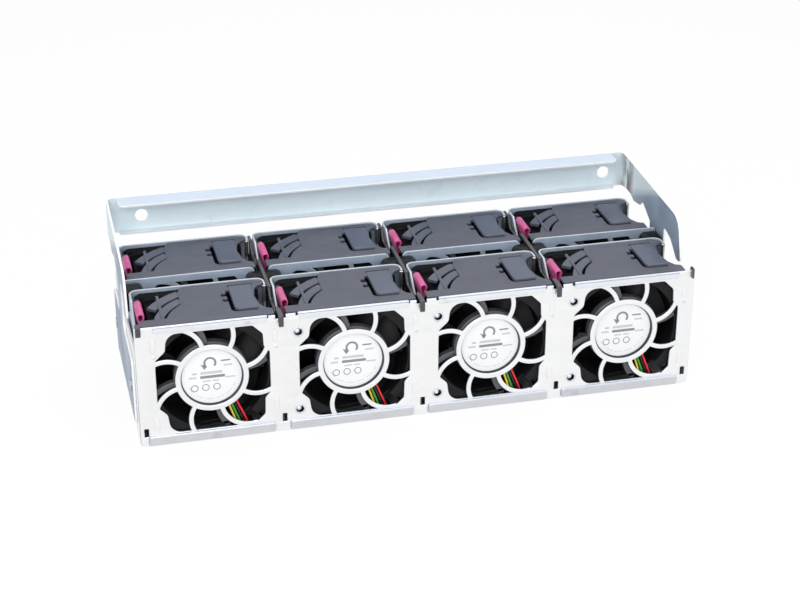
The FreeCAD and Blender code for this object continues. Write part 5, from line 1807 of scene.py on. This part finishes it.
        for left, right, low, high, finish in (
            (-9.8, -7.4, 1.6, 2.7, "pale_ink"), (-5.6, 5.4, 1.5, 2.9, "pale_ink"),
            (-11.6, -7.6, -0.6, 0.4, "pale_ink"), (-5.8, 6.6, -0.9, 0.6, "ink"),
            (-4.6, -0.6, -2.9, -2.1, "pale_ink"), (0.4, 3.6, -2.9, -2.1, "pale_ink"),
            (6.8, 11.8, -1.6, -0.8, "pale_ink"), (4.8, 9.6, 7.9, 8.7, "ink"),
            (6.2, 10.6, 5.2, 6.1, "pale_ink"),
        ):
            printed(finish, box_outline(left, right, low, high, 0.2))
        for x in (-8.8, -3.2, 2.4):
            printed("ink", circle(1.9, (x, -6.0), 32), circle(1.9 - 0.45, (x, -6.0), 32))
        turn = np.linspace(math.radians(-40), math.radians(215), 40)
        arc = np.concatenate([3.3 * np.stack([np.cos(turn), np.sin(turn)], 1),
                              2.2 * np.stack([np.cos(turn[::-1]), np.sin(turn[::-1])], 1)])
        printed("ink", arc + (-0.6, 7.6))
        printed("ink", np.array([(-5.4, 7.0), (-1.9, 5.6), (-3.6, 3.7)]) + (0.0, 0.2))
        for index, angle in enumerate(np.radians(np.linspace(205, 335, 27))):
            if index % 5 != 4:
                printed("pale_ink", circle(0.33, (12.6 * math.cos(angle), 12.6 * math.sin(angle)), 6))
        piece.build()

    def place(self, number: int) -> Triple:
        """Where module number stands."""
        return self.datum.modules[number - 1]

    def piece(self, kind: str, number: int, slot: str) -> Part3D:
        """Piece that rides on its module and takes one node's place."""
        return Part3D(f"module_{number}_{kind}_dressed", f"module_{number}", slot,
                      (f"module_{number}_{kind}",), self.place(number))

    def build(self) -> None:
        """Make all eight modules."""
        for number in range(1, len(self.datum.modules) + 1):
            self.housing(number)
            self.impeller(number)
            self.cover(number)
            self.latch(number)
            self.leads(number)
            self.plug(number)
            self.label(number)


# ---- studio -------------------------------------------------------------------------------------


def seen_by(tree: Tree, *rays: str) -> Socket:
    """One for the named kinds of rays, nought for the rest.

    Args:
        tree: where the nodes go.
        *rays: the light path's outputs for those rays.

    Returns:
        The mask.
    """
    path = tree.nodes.new("ShaderNodeLightPath").outputs
    seen = path[rays[0]]
    for ray in rays[1:]:
        seen = math_node(tree, "MAXIMUM", seen, path[ray])
    return seen


def blended(tree: Tree, share: Socket, first: Node, second: Node, target: str) -> None:
    """Mix two shaders by a share and give the mix to an output node's surface.

    Args:
        tree: the nodes of a material or the world.
        share: how much of the second shows.
        first: the one shader.
        second: the other.
        target: name of the output node.
    """
    mix = tree.nodes.new("ShaderNodeMixShader")
    tree.links.new(share, mix.inputs[0])
    tree.links.new(first.outputs[0], mix.inputs[1])
    tree.links.new(second.outputs[0], mix.inputs[2])
    tree.links.new(mix.outputs[0], tree.nodes[target].inputs["Surface"])


@dataclass
class Studio:
    """Pale floor, soft lamps, white surround and the camera.

    Attributes:
        eye: the camera's place in metres.
        azimuth: how far it turns from straight ahead, in degrees.
        elevation: how far it looks down, in degrees.
        lens: its focal length in millimetres.
        lamps: name, place, side and power of every lamp.
    """

    eye: Triple = (-0.20438, -0.8589, 0.47298)
    azimuth: float = 13.486
    elevation: float = 26.201
    lens: float = 82.68
    lamps: tuple[tuple[str, Triple, float, float], ...] = (
        ("key", (-0.7, -0.9, 1.1), 0.9, 5.8),
        ("fill", (0.9, -0.8, 0.6), 0.9, 2.8),
        ("front", (-0.2, -0.85, 0.44), 0.5, 3.3),
        ("top", (0.1, 0.3, 1.2), 1.0, 7.4),
    )

    def floor(self) -> None:
        """Pale floor that shows white to the camera and keeps the object's shadow."""
        mesh = bpy.data.meshes.new("floor")
        mesh.from_pydata([(-4, -4, 0), (4, -4, 0), (4, 4, 0), (-4, 4, 0)], [], [(0, 1, 2, 3)])
        material, tree, shader = new_material("floor")
        shader.inputs["Base Color"].default_value = (0.94, 0.94, 0.94, 1)
        shader.inputs["Roughness"].default_value = 0.9
        shader.inputs["Specular IOR Level"].default_value = 0.0
        glow = tree.nodes.new("ShaderNodeEmission")
        glow.inputs["Strength"].default_value = 1.0
        seen = seen_by(tree, "Is Camera Ray", "Is Glossy Ray")
        blended(tree, math_node(tree, "MULTIPLY", seen, 0.9), shader, glow, "Material Output")
        mesh.materials.append(material)
        linked("floor", mesh)

    def world(self) -> None:
        """White to camera, gloss and transmission rays, softer as a source of light."""
        world = bpy.data.worlds.new("studio")
        bpy.context.scene.world = world
        world.use_nodes = True
        tree = world.node_tree
        soft = tree.nodes["Background"]
        soft.inputs["Color"].default_value = (0.97, 0.98, 1.0, 1)
        soft.inputs["Strength"].default_value = 0.42
        white = tree.nodes.new("ShaderNodeBackground")
        white.inputs["Color"].default_value = (1, 1, 1, 1)
        seen = seen_by(tree, "Is Camera Ray", "Is Glossy Ray", "Is Transmission Ray")
        blended(tree, seen, soft, white, "World Output")

    def lamp(self, name: str, at: Triple, size: float, power: float) -> None:
        """Square area lamp aimed at the cage.

        Args:
            name: the lamp's name.
            at: its place in metres.
            size: its side in metres.
            power: in watts.
        """
        data = bpy.data.lights.new(name, "AREA")
        data.size = size
        data.energy = power
        made = linked(name, data)
        made.location = at
        x, y, z = np.array((0, 0, 0.04)) - np.array(at)
        made.rotation_euler = (math.atan2(math.hypot(x, y), -z), 0, math.atan2(-x, y))

    def camera(self) -> None:
        """Camera at its place, looking down at the cage from its front left."""
        data = bpy.data.cameras.new("camera")
        data.lens = self.lens
        data.sensor_width = 36.0
        data.clip_end = 20.0
        made = linked("camera", data)
        made.location = self.eye
        made.rotation_euler = (math.radians(90 - self.elevation), 0, math.radians(-self.azimuth))
        bpy.context.scene.camera = made

    def build(self) -> None:
        """Set everything up."""
        self.floor()
        self.world()
        for lamp in self.lamps:
            self.lamp(*lamp)
        self.camera()
        bpy.context.scene.view_settings.view_transform = "Standard"


def main() -> None:
    """Build the classes in order."""
    datum = Datum.read()
    Cage(datum).build()
    Carrier(datum).build()
    FanModule(datum).build()
    Studio().build()


if __name__ == "__main__":
    main()
